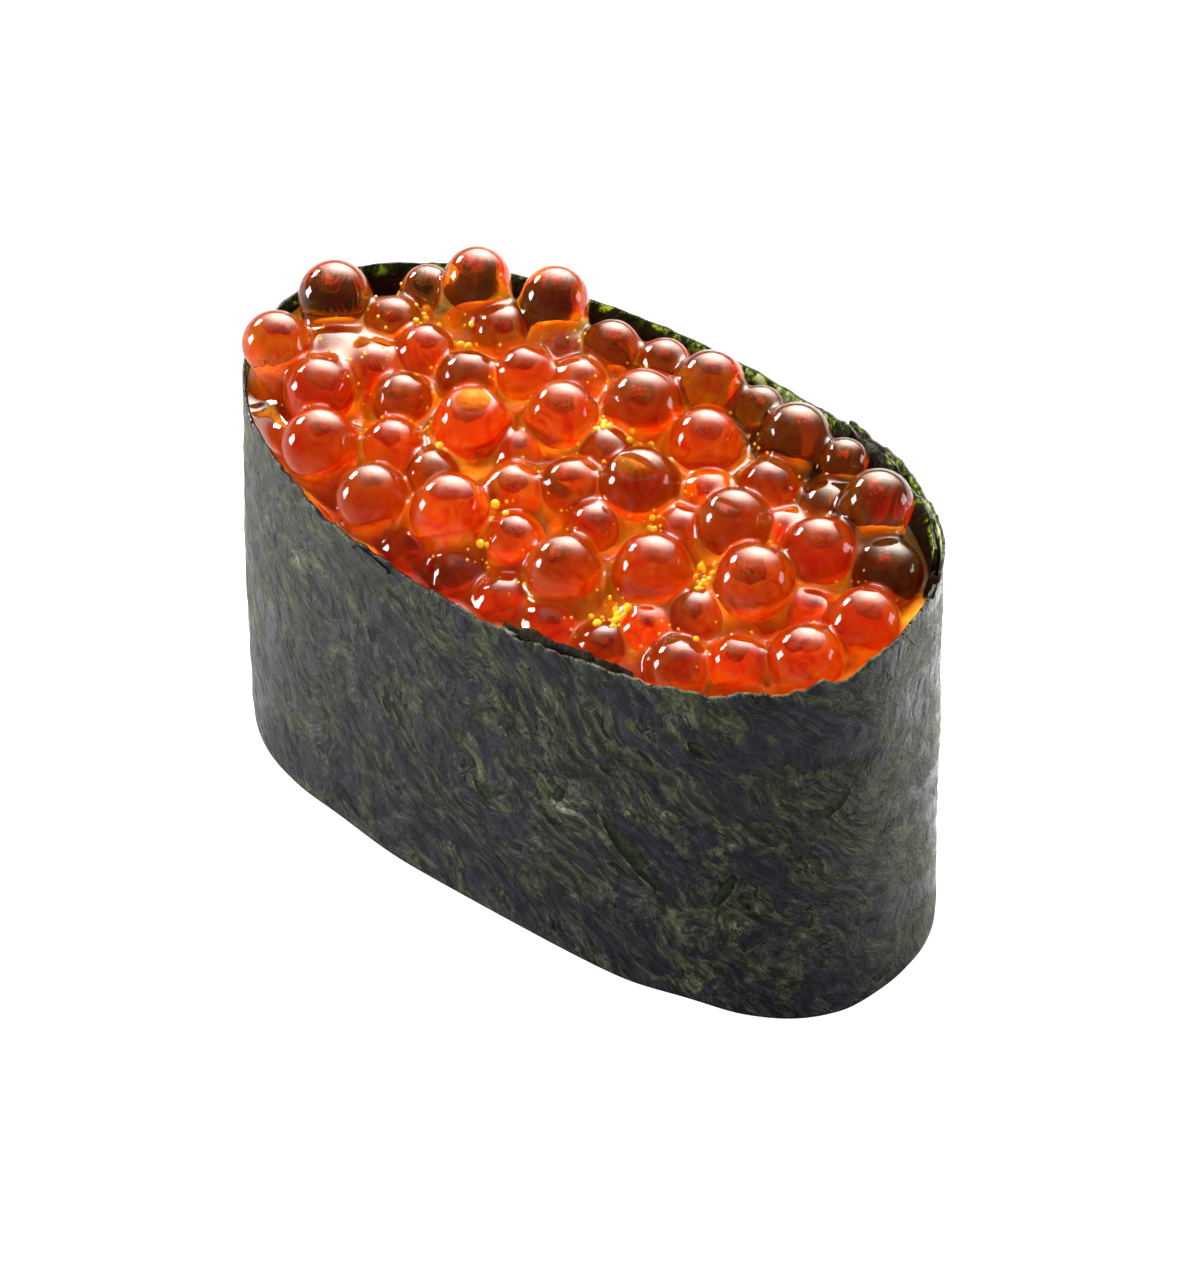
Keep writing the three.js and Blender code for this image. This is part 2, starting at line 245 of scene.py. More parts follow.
def rice_core():
    """Rows of the wall outline from the underside up, drawn in to a middle line at both ends."""
    angle = np.arange(RICE_COLUMNS) * 2 * pi / RICE_COLUMNS
    rows = []
    for height, share in RICE_ROWS:
        x, y = wall_point(angle, height, -FIT_GAP)
        rows.append(np.stack([x * share, y * share, np.full_like(x, height)], -1))
    points = np.vstack(rows)
    return welded(points, grid_faces(len(rows), RICE_COLUMNS, True))


def rice_grains():
    """Ellipsoids blunter at one end, on a staggered grid, each turned its own way, and pressed flat on the
    board and against the band."""
    form, faces = ball_form(10, 12)
    form = form[:, [2, 1, 0]] * (GRAIN_LENGTH / 2, GRAIN_WIDTH / 2, GRAIN_WIDTH / 2)
    form[:, 1:] *= 1 + GRAIN_BLUNT * form[:, :1] / GRAIN_LENGTH
    draw = np.random.default_rng(GRAIN_SEED)
    rows = int(BASE_HALF_WIDTH / GRAIN_ROW_SPACING)
    columns = int(BASE_HALF_LENGTH / GRAIN_SPACING)
    row, column = np.mgrid[-rows:rows + 1, -columns:columns + 1].reshape(2, -1)
    x = (column + (row % 2) / 2) * GRAIN_SPACING
    y = row * GRAIN_ROW_SPACING
    heading, pitch = draw.uniform(0, pi, x.size), draw.uniform(-0.5, 0.5, x.size) * GRAIN_PITCH
    lift = GRAIN_LIFT + draw.uniform(0, GRAIN_LIFT_SPREAD, x.size)
    inside = np.hypot(x / BASE_HALF_LENGTH, y / BASE_HALF_WIDTH) < GRAIN_REACH
    places = []
    for k in np.flatnonzero(inside):
        turn = Matrix.Rotation(heading[k], 3, "Z") @ Matrix.Rotation(pitch[k], 3, "Y")
        places.append(form @ np.array(turn).T + (x[k], y[k], lift[k]))
    points, faces = copies(form, faces, np.array(places))
    mould = (BASE_HALF_LENGTH - GRAIN_MOULD, BASE_HALF_WIDTH - GRAIN_MOULD)
    full = (np.abs(points[:, :2] / mould) ** BASE_SQUARENESS).sum(1)
    points[:, :2] /= np.maximum(1, full ** (1 / BASE_SQUARENESS))[:, None]
    points[:, 2] = np.maximum(points[:, 2], 0)
    return points, faces


rice_finish, rice_tree, rice_shader, _ = new_material(
    "boiled_rice",  # starchy, damp and a little see-through: a soft white with a low satin gloss
    {"Roughness": 0.42, "IOR": 1.38, "Subsurface Weight": 0.35, "Subsurface Radius": (1.0, 0.8, 0.6),
     "Subsurface Scale": 0.0012},
)
rice_place = node(rice_tree, "ShaderNodeTexCoord")
# Cloudy patches 2.4 mm across, and pits a tenth of a millimetre deep.
rice_cloud = node(
    rice_tree, "ShaderNodeTexNoise", {"Vector": rice_place.outputs["Object"], "Scale": 420, "Detail": 4}
)
rice_tone = node(rice_tree, "ShaderNodeValToRGB", {0: rice_cloud.outputs[0]}, stops=RICE_TONES)
rice_pits = node(
    rice_tree, "ShaderNodeBump", {"Height": rice_cloud.outputs[0], "Strength": 0.35, "Distance": 0.0001}
)
rice_tree.links.new(rice_tone.outputs[0], rice_shader.inputs["Base Color"])
rice_tree.links.new(rice_pits.outputs[0], rice_shader.inputs["Normal"])

core_points, core_faces = rice_core()
rice_block = mesh_piece("rice_block", core_points, core_faces, rice_finish)
grain_points, grain_faces = rice_grains()
rice_surface = mesh_piece("rice_grains", grain_points, grain_faces, rice_finish)
for piece in (rice_block, rice_surface):
    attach(piece, "root")
    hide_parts("pressed_rice")

# ---------------------------------------------------------------- nori band
# A strip cut from a toasted sheet of laver: chopped seaweed dried on a screen, so it is a felt of
# fibres and flakes with small holes, purplish black with olive green where it is thin. It stands on
# edge round the rice, damp and shiny, and laps over its own first end. Its rim is torn and uneven.

NORI_COLUMNS = 1080
NORI_OUTER_ROWS = 72
NORI_INNER_ROWS = 12
# Heights of the rim's tears and teeth, of the hem's arches, and of each kind of relief on the faces.
RIM_TEAR = 0.25
RIM_TOOTH = 0.22
HEM_LIFT = 0.35
COCKLE = 0.08
FELT = 0.045
CREASE = 0.05
NORI_SEED = 11


def uneven(x, y, cell, seed):
    """Random heights from -1 to 1 on a square lattice of that cell, blended smoothly in between."""
    heights = np.random.default_rng(seed).uniform(-1, 1, (256, 256))
    column, row = np.floor(x / cell).astype(int), np.floor(y / cell).astype(int)
    across, up = x / cell - column, y / cell - row
    across, up = across * across * (3 - 2 * across), up * up * (3 - 2 * up)
    near, far, this_row, next_row = column % 256, (column + 1) % 256, row % 256, (row + 1) % 256
    low = heights[near, this_row] * (1 - across) + heights[far, this_row] * across
    high = heights[near, next_row] * (1 - across) + heights[far, next_row] * across
    return low * (1 - up) + high * up


def felt_relief(along, height):
    """Height of the felt by place on the strip: cockles 9 mm wide, fibre ridges that slant at 1.3 mm, flakes
    of 1.9 mm, and a few long creases, thin lines where a 7 mm wave crosses zero."""
    slant_a, slant_b = along * 0.6 + height, along - height * 0.6
    cockle = COCKLE * (1 + uneven(along, height, 9, NORI_SEED))
    fibre = FELT * uneven(slant_a * 2.2, slant_b * 0.7, 1.3, NORI_SEED + 1)
    flake = FELT * uneven(along, height, 1.9, NORI_SEED + 2)
    crease = np.maximum(0, 1 - 9 * np.abs(uneven(slant_a * 1.3, slant_b * 0.5, 7, NORI_SEED + 3)))
    return cockle + fibre + flake - CREASE * crease


def rim_edge(angle, along):
    """The rim as cut: its mean line with slow tears, the product of two waves, and teeth of three sizes,
    all of them faint on the far side."""
    tear = np.sin(17 * angle + 1) * np.sin(6 * angle + 0.4)
    teeth = uneven(along, 0 * along, 1.1, NORI_SEED + 4) + 0.6 * uneven(along, 0 * along, 0.45, NORI_SEED + 5)
    teeth = teeth + 0.4 * uneven(along, 0 * along, 0.24, NORI_SEED + 9)
    near = 0.2 + 0.8 * smoothstep(16 * np.cos(angle) - 11 * np.sin(angle), -10, 4)
    return rim_height(angle) + (RIM_TEAR * tear + RIM_TOOTH * teeth) * near


def hem_edge(angle):
    """The foot of the band, lifted off the board in seven shallow arches, half waves squared."""
    return HEM_LIFT * np.maximum(0, np.sin(7 * angle + 2.5)) ** 2


def nori_strip():
    """One strip carried round from its inner end to its lapped outer end. Each column is a thin section:
    up the outer face, over the rim and down the inner face, with the felt's relief on both."""
    sweep = np.linspace(0, 360 + LAP_LENGTH, NORI_COLUMNS)[:, None]
    angle = np.radians(LAP_START + sweep)
    outer = np.linspace(0, 1, NORI_OUTER_ROWS)
    inner = np.linspace(1, 0, NORI_INNER_ROWS)
    rise = np.concatenate([outer, inner])[None]
    inside = np.concatenate([0 * outer, 0 * inner + 1])[None]
    depth = np.where(sweep > 180, 0, lap_inset(angle))
    middle_x, middle_y = band_point(angle[:, 0], 0.5, 0)
    along = np.concatenate([[0], np.cumsum(np.hypot(np.diff(middle_x), np.diff(middle_y)))])[:, None]
    height = hem_edge(angle) * (1 - rise) + rim_edge(angle, along) * rise
    relief = felt_relief(along, height) * smoothstep(rise, 0, 0.03)
    thickness = NORI_THICKNESS * (1 - 0.6 * smoothstep(rise, 0.985, 1))
    offset = ripple(angle, rise) - depth - inside * thickness + relief * (1 - 0.85 * inside)
    x, y = band_point(angle, rise, offset)
    points = np.stack(np.broadcast_arrays(x, y, height), -1)
    columns = points.shape[1]
    faces = grid_faces(NORI_COLUMNS, columns, True)
    for column in (0, NORI_COLUMNS - 1):
        first = column * columns
        down = first + columns - 1 - np.arange(NORI_INNER_ROWS - 1)
        strides = np.linspace(0, NORI_OUTER_ROWS - 1, NORI_INNER_ROWS).astype(int)
        up, above = first + strides[:-1], first + strides[1:]
        end = np.stack([up, above, down - 1, down], -1)
        faces = np.vstack([faces, end if column == 0 else end[:, ::-1]])
    below_rim = rim_edge(angle, along) - height
    shares = {"inside": np.broadcast_to(inside, x.shape).ravel(), "below_rim": below_rim.ravel()}
    place = np.stack(np.broadcast_arrays(along, height), -1) * MM
    return points.reshape(-1, 3), faces, place.reshape(-1, 2), shares


# Where a second layer of the sheet stands torn at the rim: first and last angle, height above the rim,
# and how far its top leans out from the sheet's inner face.
TORN_LAYERS = [(274, 295, 0.5, -0.4), (253, 260, 0.45, 0.7), (50, 62, 0.25, 0.5), (8, 16, 0.2, 0.45)]
TORN_COLUMNS = 260
TORN_ROWS = 10
TORN_DEPTH = 2.2
TORN_THICKNESS = 0.14


def torn_layer(first, last, above, lean):
    """A thin ribbon inside the band, rooted below the rim. Its top edge is ragged by waves of three sizes and
    sinks at both ends, and it leans with the cube of its rise."""
    share = np.linspace(0, 1, TORN_COLUMNS)[:, None]
    angle = np.radians(first + (last - first) * share)
    along = np.radians(first) * RIM_HALF_WIDTH + share * np.radians(last - first) * RIM_HALF_LENGTH
    ragged = uneven(along, 0 * along, 1.3, NORI_SEED + 6) + 0.5 * uneven(along, 0 * along, 0.5, NORI_SEED + 7)
    ragged = ragged + 0.2 * uneven(along, 0 * along, 0.2, NORI_SEED + 10)
    top = (above + 0.55 * above * ragged) * np.sin(pi * share) ** 0.4 - 0.3 * (1 - np.sin(pi * share) ** 0.4)
    rise = np.concatenate([np.linspace(0, 1, TORN_ROWS), np.linspace(1, 0, TORN_ROWS)])[None]
    inner = np.concatenate([np.zeros(TORN_ROWS), np.ones(TORN_ROWS)])[None]
    height = rim_height(angle) - TORN_DEPTH + (TORN_DEPTH + top) * rise
    offset = ripple(angle, 1) - NORI_THICKNESS - lap_inset(angle) + 0.1
    offset = offset - inner * TORN_THICKNESS * (1 - 0.85 * rise)
    offset = offset + lean * rise ** 3 + 0.08 * uneven(along, height, 0.6, NORI_SEED + 8) * rise
    x, y = band_point(angle, 1, offset)
    points = np.stack(np.broadcast_arrays(x, y, height), -1)
    faces = grid_faces(TORN_COLUMNS, 2 * TORN_ROWS, True)
    for column in (0, TORN_COLUMNS - 1):
        low = column * 2 * TORN_ROWS + np.arange(TORN_ROWS - 1)
        opposite = column * 2 * TORN_ROWS + 2 * TORN_ROWS - 1 - np.arange(TORN_ROWS - 1)
        end = np.stack([low, low + 1, opposite - 1, opposite], -1)
        faces = np.vstack([faces, end if column == 0 else end[:, ::-1]])
    place = np.stack(np.broadcast_arrays(along, height), -1) * MM
    shares = {"inside": np.full(x.size, 0.7), "below_rim": np.full(x.size, TORN_DEPTH)}
    return points.reshape(-1, 3), faces, place.reshape(-1, 2), shares


# Dents torn into the sheet: middle along the strip and up it, direction, half length and half width.
NORI_GASHES = [
    (109.6, 13.5, 52, 3.3, 0.8), (124.1, 21.1, -53, 1.4, 0.5), (104.2, 16.5, -66, 1.0, 0.4),
    (115.2, 25.4, 37, 1.0, 0.6), (82, 20.7, 18, 1.3, 0.5), (77.5, 22.4, 40, 1.7, 0.5),
    (116.4, 12.3, -65, 1.9, 0.45), (97.5, 12.6, 50, 1.3, 0.4), (90, 15.5, 62, 1.4, 0.4),
    (3, 17, -60, 1.5, 0.4),
]
FILM_TONES = [(0.3, "#0f0d15"), (0.5, "#191725"), (0.7, "#292737")]
GREEN_TONES = [(0.3, "#080a07"), (0.5, "#131610"), (0.7, "#262b1d")]
FIBRE_TONES = [(0.38, "#616761"), (0.52, "#697057"), (0.64, "#7d865f")]
INSIDE_TONES = [(0.3, "#150d07"), (0.6, "#2c1a0d"), (0.8, "#3d3414")]
# Painted glow: the green of the sheet's inner edge just below the rim.
LIT_TONES = [(0.42, "#141c08"), (0.54, "#34480e"), (0.64, "#a8cc2a")]
# Painted shade inside the hollows; the colour of their pale lips follows.
HOLLOW_PAINTED_SHADE = "#070805"
HOLLOW_LIP = "#4c582b"
# Painted shade in the creases.
CREASE_PAINTED_SHADE = "#050605"
GASH_GREEN = "#203118"
# Painted shadow in a gash under its upper lip, then a painted highlight on its lower lip.
GASH_PAINTED_SHADOW = "#050604"
GASH_PAINTED_HIGHLIGHT = "#687536"
# Painted glints: the pale specks on the felt.
SPECK_PAINTED_GLINT = "#7d8468"
FELT_DEPTH = 0.00042
DRIFT = 6.0

nori_finish, nori_tree, nori_shader, _ = new_material(
    "damp_toasted_nori",  # dried laver gone damp: purplish films, waxy where smooth, under olive fibres
    {"IOR": 1.4},
)


def fibre_way(place, degrees, along_fibre, across):
    """Coordinates turned to lie along fibres at an angle to the strip, in pattern cells per millimetre."""
    turn = {"Vector": place, "Angle": radians(degrees)}
    turned = node(nori_tree, "ShaderNodeVectorRotate", turn, rotation_type="Z_AXIS")
    cells = {0: turned.outputs[0], 1: (along_fibre, across, 1)}
    return node(nori_tree, "ShaderNodeVectorMath", cells, operation="MULTIPLY").outputs[0]


def level_lines(place, detail, width):
    """Thin wandering lines where a noise crosses its middle value, 1 on the line and 0 beyond width."""
    noise = node(
        nori_tree, "ShaderNodeTexNoise", {"Vector": place, "Scale": 1.0, "Detail": detail, "Roughness": 0.6}
    )
    off = node(nori_tree, "ShaderNodeMath", {0: noise.outputs[0], 1: 0.5}, operation="SUBTRACT")
    size = node(nori_tree, "ShaderNodeMath", {0: off.outputs[0]}, operation="ABSOLUTE")
    fade = {0: size.outputs[0], 1: 0.0, 2: width, 3: 1.0, 4: 0.0}
    return node(nori_tree, "ShaderNodeMapRange", fade).outputs[0]


def share_of(tree, *parts, by="MULTIPLY"):
    """A share from parts joined one after another by a math operation. A part is a value, or a tuple of a
    value, low, high and maybe start and end: the value stretched smoothly so that low becomes start (or 0)
    and high becomes end (or 1)."""
    total = None
    for part in parts:
        if isinstance(part, tuple):
            stretch = dict(enumerate((*part, 0.0, 1.0)[:5]))
            part = node(tree, "ShaderNodeMapRange", stretch, interpolation_type="SMOOTHSTEP").outputs[0]
        if total is None:
            total = part
        else:
            total = node(tree, "ShaderNodeMath", {0: total, 1: part}, operation=by).outputs[0]
    return total


# The strip's own millimetres, and the same pushed about by up to 6 mm as the sheet's fibres drift.
nori_uv = node(nori_tree, "ShaderNodeUVMap", uv_map="strip").outputs[0]
nori_mm = node(nori_tree, "ShaderNodeVectorMath", {0: nori_uv, "Scale": 1 / MM}, operation="SCALE").outputs[0]
drift_noise = node(nori_tree, "ShaderNodeTexNoise", {"Vector": nori_mm, "Scale": 0.07, "Detail": 3})
drift_ends = {0: drift_noise.outputs["Color"], 1: (0.5, 0.5, 0.5)}
drift_way = node(nori_tree, "ShaderNodeVectorMath", drift_ends, operation="SUBTRACT").outputs[0]
drift = node(nori_tree, "ShaderNodeVectorMath", {0: drift_way, "Scale": 2 * DRIFT}, operation="SCALE")
flow_parts = {0: nori_mm, 1: drift.outputs[0]}
flow = node(nori_tree, "ShaderNodeVectorMath", flow_parts, operation="ADD").outputs[0]

# Patches of bare film and of felt, 3 to 6 mm across, and streaks 1.7 mm long and 0.7 mm wide in both.
patch_noise = node(
    nori_tree, "ShaderNodeTexNoise",
    {"Vector": fibre_way(flow, 48, 0.16, 0.3), "Scale": 1.0, "Detail": 5, "Roughness": 0.62,
     "Distortion": 0.4},
)
patches = patch_noise.outputs[0]
patch_parts = node(nori_tree, "ShaderNodeSeparateColor", {0: patch_noise.outputs["Color"]}).outputs
fibrous = share_of(nori_tree, (patches, 0.44, 0.55))
streaks = node(
    nori_tree, "ShaderNodeTexNoise",
    {"Vector": fibre_way(flow, 52, 0.6, 1.5), "Scale": 1.0, "Detail": 6, "Roughness": 0.72},
).outputs[0]

# Fibres a few hundredths of a millimetre wide and about 3 mm long, and short ones about 1 mm long.
long_fibres = share_of(
    nori_tree,
    level_lines(fibre_way(flow, 55, 0.3, 1.15), 2, 0.035),
    share_of(nori_tree, level_lines(fibre_way(flow, 8, 0.3, 1.1), 2, 0.035), (patch_parts[1], 0.42, 0.56)),
    share_of(nori_tree, level_lines(fibre_way(flow, 108, 0.35, 1.2), 2, 0.035), (patch_parts[2], 0.44, 0.58)),
    by="MAXIMUM",
)
short_fibres = share_of(
    nori_tree,
    level_lines(fibre_way(flow, 32, 0.8, 2.6), 2, 0.07),
    level_lines(fibre_way(flow, 80, 0.8, 2.4), 2, 0.07),
    level_lines(fibre_way(flow, 146, 0.7, 2.3), 2, 0.07),
    by="MAXIMUM",
)
fibres = share_of(nori_tree, long_fibres, share_of(nori_tree, short_fibres, 0.55), by="MAXIMUM")
fibre_share = share_of(nori_tree, fibres, (fibrous, 0, 1, 0.25, 1.0), (streaks, 0.4, 0.6, 0.1, 1.0))

# Creases some 14 mm long, hollows with a pale lip 3 to 8 mm apart, and specks of a tenth of a millimetre.
# The creases and hollows are darkened with painted shade, and the pale specks are painted glints.
crease_lines = level_lines(fibre_way(flow, 50, 0.07, 0.26), 3, 0.008)
creases = share_of(nori_tree, crease_lines, (patches, 0.46, 0.52))
hollow_place = fibre_way(flow, 52, 0.12, 0.32)
hollow_cells = node(nori_tree, "ShaderNodeTexVoronoi", {"Vector": hollow_place, "Scale": 1.0}, feature="F1")
hollow_kinds = node(nori_tree, "ShaderNodeSeparateColor", {0: hollow_cells.outputs["Color"]}).outputs
hollow_ragged, hollow_size = share_of(nori_tree, streaks, 0.4), share_of(nori_tree, hollow_kinds[0], 0.3)
hollow_out = share_of(nori_tree, hollow_cells.outputs["Distance"], hollow_ragged, by="ADD")
hollow_far = share_of(nori_tree, hollow_out, hollow_size, 0.12, by="SUBTRACT")
hollows = share_of(nori_tree, (hollow_far, 0.02, -0.03))
hollow_lips = share_of(
    nori_tree, (hollow_far, 0.07, 0.01), (hollow_far, -0.04, 0.01), (patch_parts[2], 0.46, 0.56)
)
speck_cells = node(nori_tree, "ShaderNodeTexVoronoi", {"Vector": flow, "Scale": 1.7}, feature="F1")
speck_kinds = node(nori_tree, "ShaderNodeSeparateColor", {0: speck_cells.outputs["Color"]}).outputs
painted_glint_specks = share_of(
    nori_tree,
    (speck_cells.outputs["Distance"], 0.14, 0.05), (speck_kinds[0], 0.72, 0.95), (fibrous, 0, 1, 0.3, 1.0),
)

# Gashes: ragged green ovals, with a painted shadow under their upper lip and a painted highlight on their
# lower lip.
gash = gash_painted_shadow = gash_painted_highlight = 0.0
for along, up, degrees, half_length, half_width in NORI_GASHES:
    centre = {0: nori_mm, 1: (along, up, 0)}
    beside = node(nori_tree, "ShaderNodeVectorMath", centre, operation="SUBTRACT").outputs[0]
    within = fibre_way(beside, degrees, 1 / half_length, 1 / half_width)
    length = node(nori_tree, "ShaderNodeVectorMath", {0: within}, operation="LENGTH").outputs["Value"]
    across = node(nori_tree, "ShaderNodeSeparateXYZ", {0: within}).outputs["Y"]
    far = share_of(nori_tree, length, share_of(nori_tree, streaks, 1.1), -0.55, by="ADD")
    gash = share_of(nori_tree, gash, (far, 1.1, 0.8), by="MAXIMUM")
    shadow = share_of(nori_tree, (far, 1.1, 0.9), (across, 0.2, -0.4))
    gash_painted_shadow = share_of(nori_tree, gash_painted_shadow, shadow, by="MAXIMUM")
    lip = share_of(nori_tree, (far, 1.25, 1.12), (far, 0.95, 1.1), (across, 0.1, -0.5), (streaks, 0.4, 0.6))
    gash_painted_highlight = share_of(nori_tree, gash_painted_highlight, lip, by="MAXIMUM")
crinkles = node(
    nori_tree, "ShaderNodeTexNoise",
    {"Vector": fibre_way(flow, 70, 0.35, 0.8), "Scale": 1.0, "Detail": 3, "Roughness": 0.5},
).outputs[0]

# The inner face is browner, and just below the rim its thin edge is painted a glowing green, a painted glow
# of the light that comes through it.
nori_inside = node(nori_tree, "ShaderNodeAttribute", attribute_name="inside").outputs["Fac"]
nori_below = node(nori_tree, "ShaderNodeAttribute", attribute_name="below_rim").outputs["Fac"]
lit_edge = share_of(
    nori_tree, (nori_below, 1.2, 0.25), (streaks, 0.3, 0.6, 0.3, 1.0), (nori_inside, 0.9, 1.0)
)
lit_lengths = node(nori_tree, "ShaderNodeTexNoise", {"Vector": nori_mm, "Scale": 0.14, "Detail": 1})
lit_share = share_of(nori_tree, lit_lengths.outputs[0], (streaks, 0.3, 0.65, 0.6, 1.4))
film_tone, green_tone, fibre_tone, inside_tone, lit_tone = [
    node(nori_tree, "ShaderNodeValToRGB", {0: value}, stops=stops).outputs[0]
    for value, stops in [
        (streaks, FILM_TONES), (streaks, GREEN_TONES), (patch_parts[1], FIBRE_TONES),
        (streaks, INSIDE_TONES), (lit_share, LIT_TONES),
    ]
]
# Some of these layers are painted light: painted shade in the hollows, creases and gashes, painted highlights
# on the gashes' lower lips, painted glints in the specks and a painted glow at the edge below the rim.
nori_colour = film_tone
for share, over in [
    (fibrous, green_tone), (fibre_share, fibre_tone), (hollows, linear(HOLLOW_PAINTED_SHADE)),
    (hollow_lips, linear(HOLLOW_LIP)), (creases, linear(CREASE_PAINTED_SHADE)), (gash, linear(GASH_GREEN)),
    (gash_painted_shadow, linear(GASH_PAINTED_SHADOW)), (gash_painted_highlight, linear(GASH_PAINTED_HIGHLIGHT)), (painted_glint_specks, linear(SPECK_PAINTED_GLINT)),
    (nori_inside, inside_tone), (lit_edge, lit_tone),
]:
    layer = {0: share, 6: nori_colour, 7: over}
    nori_colour = node(nori_tree, "ShaderNodeMix", layer, data_type="RGBA").outputs[2]

fibre_matt = share_of(nori_tree, fibre_share, 0.25)
nori_gloss = share_of(nori_tree, (fibrous, 0, 1, 0.15, 0.36), fibre_matt, by="ADD")
nori_mirror = share_of(nori_tree, (nori_inside, 0.3, 0.7, 0.45, 0.08))
felt_parts = [
    share_of(nori_tree, part, height) for part, height in
    [(streaks, 0.5), (fibre_share, 0.25), (crinkles, 1.6), (creases, -1.0), (hollows, -1.0), (gash, -1.6)]
]
felt_height = share_of(nori_tree, *felt_parts, by="ADD")
felt_bump = node(
    nori_tree, "ShaderNodeBump", {"Height": felt_height, "Strength": 1.0, "Distance": FELT_DEPTH}
)
nori_tree.links.new(nori_colour, nori_shader.inputs["Base Color"])
nori_tree.links.new(nori_gloss, nori_shader.inputs["Roughness"])
nori_tree.links.new(nori_mirror, nori_shader.inputs["Specular IOR Level"])
nori_tree.links.new(felt_bump.outputs[0], nori_shader.inputs["Normal"])

nori_forms = [("nori_strip", nori_strip())]
for number, layer in enumerate(TORN_LAYERS, 1):
    nori_forms.append(("nori_torn_layer_%d" % number, torn_layer(*layer)))
for name, (points, faces, place, shares) in nori_forms:
    piece = mesh_piece(name, points, faces, nori_finish, shares)
    strip_uv = piece.data.uv_layers.new(name="strip")
    loop_points = np.empty(len(piece.data.loops), np.int32)
    piece.data.loops.foreach_get("vertex_index", loop_points)
    strip_uv.data.foreach_set("uv", place[loop_points].ravel())
    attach(piece, "root")
    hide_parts("nori_band")

# ---------------------------------------------------------------- roe mass
# The roe below the top layer: more eggs crowded together, so deep in the syrup that only soft bumps
# and a glow of orange come through. It is the opaque heart of the heap, closed down to the rice, and
# it rises into a pad under each egg that leans on the nori.

# The heap's mean surface passes through the middles of the eggs that stand on top.
HEAP_HEIGHT = 32.8
HEAP_TILT = 0.19
HEAP_FALL = 0.03
HEAP_CROWN = 1.0

# How the eggs settle, and how smaller ones fill the gaps.
EGG_GAP = 0.05
SETTLING_ROUNDS = 60
SETTLING_SHARE = 1 / 3
WALL_STEPS = 4
FILL_LARGEST = 1.9
FILL_SMALLEST = 1.35
FILL_DROP = 0.7
FILL_GRID = 0.5
FILL_OVERLAP = 0.88

# The eggs that show whole: radius, how far each stands above the mean, and plan places.
EGG_GROUPS = [
    (2.6, 0, [(-24, 3), (-17, -8.5), (-8, -1.5), (-5, -8), (1, 6), (5, 0), (10, -5), (16.5, -2.5)]),
    (2.4, 0.1, [(-19, -5), (-3, 2), (-10.5, -10), (4.5, -8), (3.5, 10), (6.5, 5.5), (11.5, 10), (12.5, 1),
                (18.5, 2), (24, 4.5), (24.5, 0), (22.5, -5)]),
    (2.4, 0.6, [(-24.5, -4), (-15, 8.5), (-9.5, 10.5), (21.5, 6.5)]),
    (2.0, -0.5, [(-4.5, 9.5), (-19.5, 3.5), (-12.5, 7), (-15.5, 2.5), (-11.5, 2), (-8, 4.5), (-14, -2.5),
                 (-12, -5), (-3, -4.5), (0.5, -2), (12, 5.5), (16, 7), (15, -10)]),
    (1.6, -0.2, [(8, 10.5), (16, 9.5)]),
    (1.7, -1.6, [(-6.5, -11), (-2.5, -11), (1.5, -11), (5.5, -11), (9.5, -10.5)]),
]

HEAP_COLUMNS = 720
HEAP_ROWS = 128
MIDDLE_LINE = 13.7
INTO_NORI = 0.22

# The lower roe: its depth below the mean surface, its bumps, its shore by the nori and its pads.
MASS_DEPTH = 2.4
MASS_SHORE = 1.3
MASS_SHORE_FALL = 3.0
MASS_FAR_FALL = 1.7
MASS_PAD = 0.68
MASS_PAD_REACH = 2.0
MASS_PAD_FALL = 0.8
MASS_SINK = 1.5
MASS_SINK_WIDTH = 2.0
MASS_EGG = 2.2
MASS_HOLLOW = 0.75
MASS_BUMP = 1.2
MASS_SPACING = 4.2
MASS_ROW_SHARE = 0.87
MASS_JITTER = 0.6
MASS_BOTTOM = 22
MASS_STEP = 2
MASS_SEED = 31
MASS_REDS = [(0.08, "#962e08"), (0.22, "#b8580c"), (0.42, "#ca8410"), (0.62, "#dcb022")]
MASS_GOLDS = [(0.4, "#a86a0e"), (0.6, "#cc961c")]
# Painted glow: the deeper red of the mass by the near rim.
MASS_PAINTED_GLOW = "#a83204"
# Painted shade: the dark brown of the mass by the far rim.
MASS_PAINTED_SHADE = "#3c1608"


def heap_height(x, y):
    """The heap's mean surface: a plane tilted both ways, with a low crown that fades at the rim's outline."""
    crown = np.maximum(0, 1 - (x / RIM_HALF_LENGTH) ** 2) * np.maximum(0, 1 - (y / RIM_HALF_WIDTH) ** 2)
    return HEAP_HEIGHT + HEAP_TILT * y - HEAP_FALL * x + HEAP_CROWN * crown


def outline_field(x, y):
    """How full the rim's outline is at a plan point, 1 on the outline, and its slope there."""
    half_width = RIM_HALF_WIDTH * (1 + RIM_TAPER * x / RIM_HALF_LENGTH)
    power = RIM_SQUARENESS
    full = np.abs(x / RIM_HALF_LENGTH) ** power + np.abs(y / half_width) ** power
    slope_x = power * signed_power(x / RIM_HALF_LENGTH, power - 1) / RIM_HALF_LENGTH
    slope_y = power * signed_power(y / half_width, power - 1) / half_width
    angle = np.arctan2(signed_power(y / half_width, power / 2), signed_power(x / RIM_HALF_LENGTH, power / 2))
    return full, slope_x, slope_y, angle


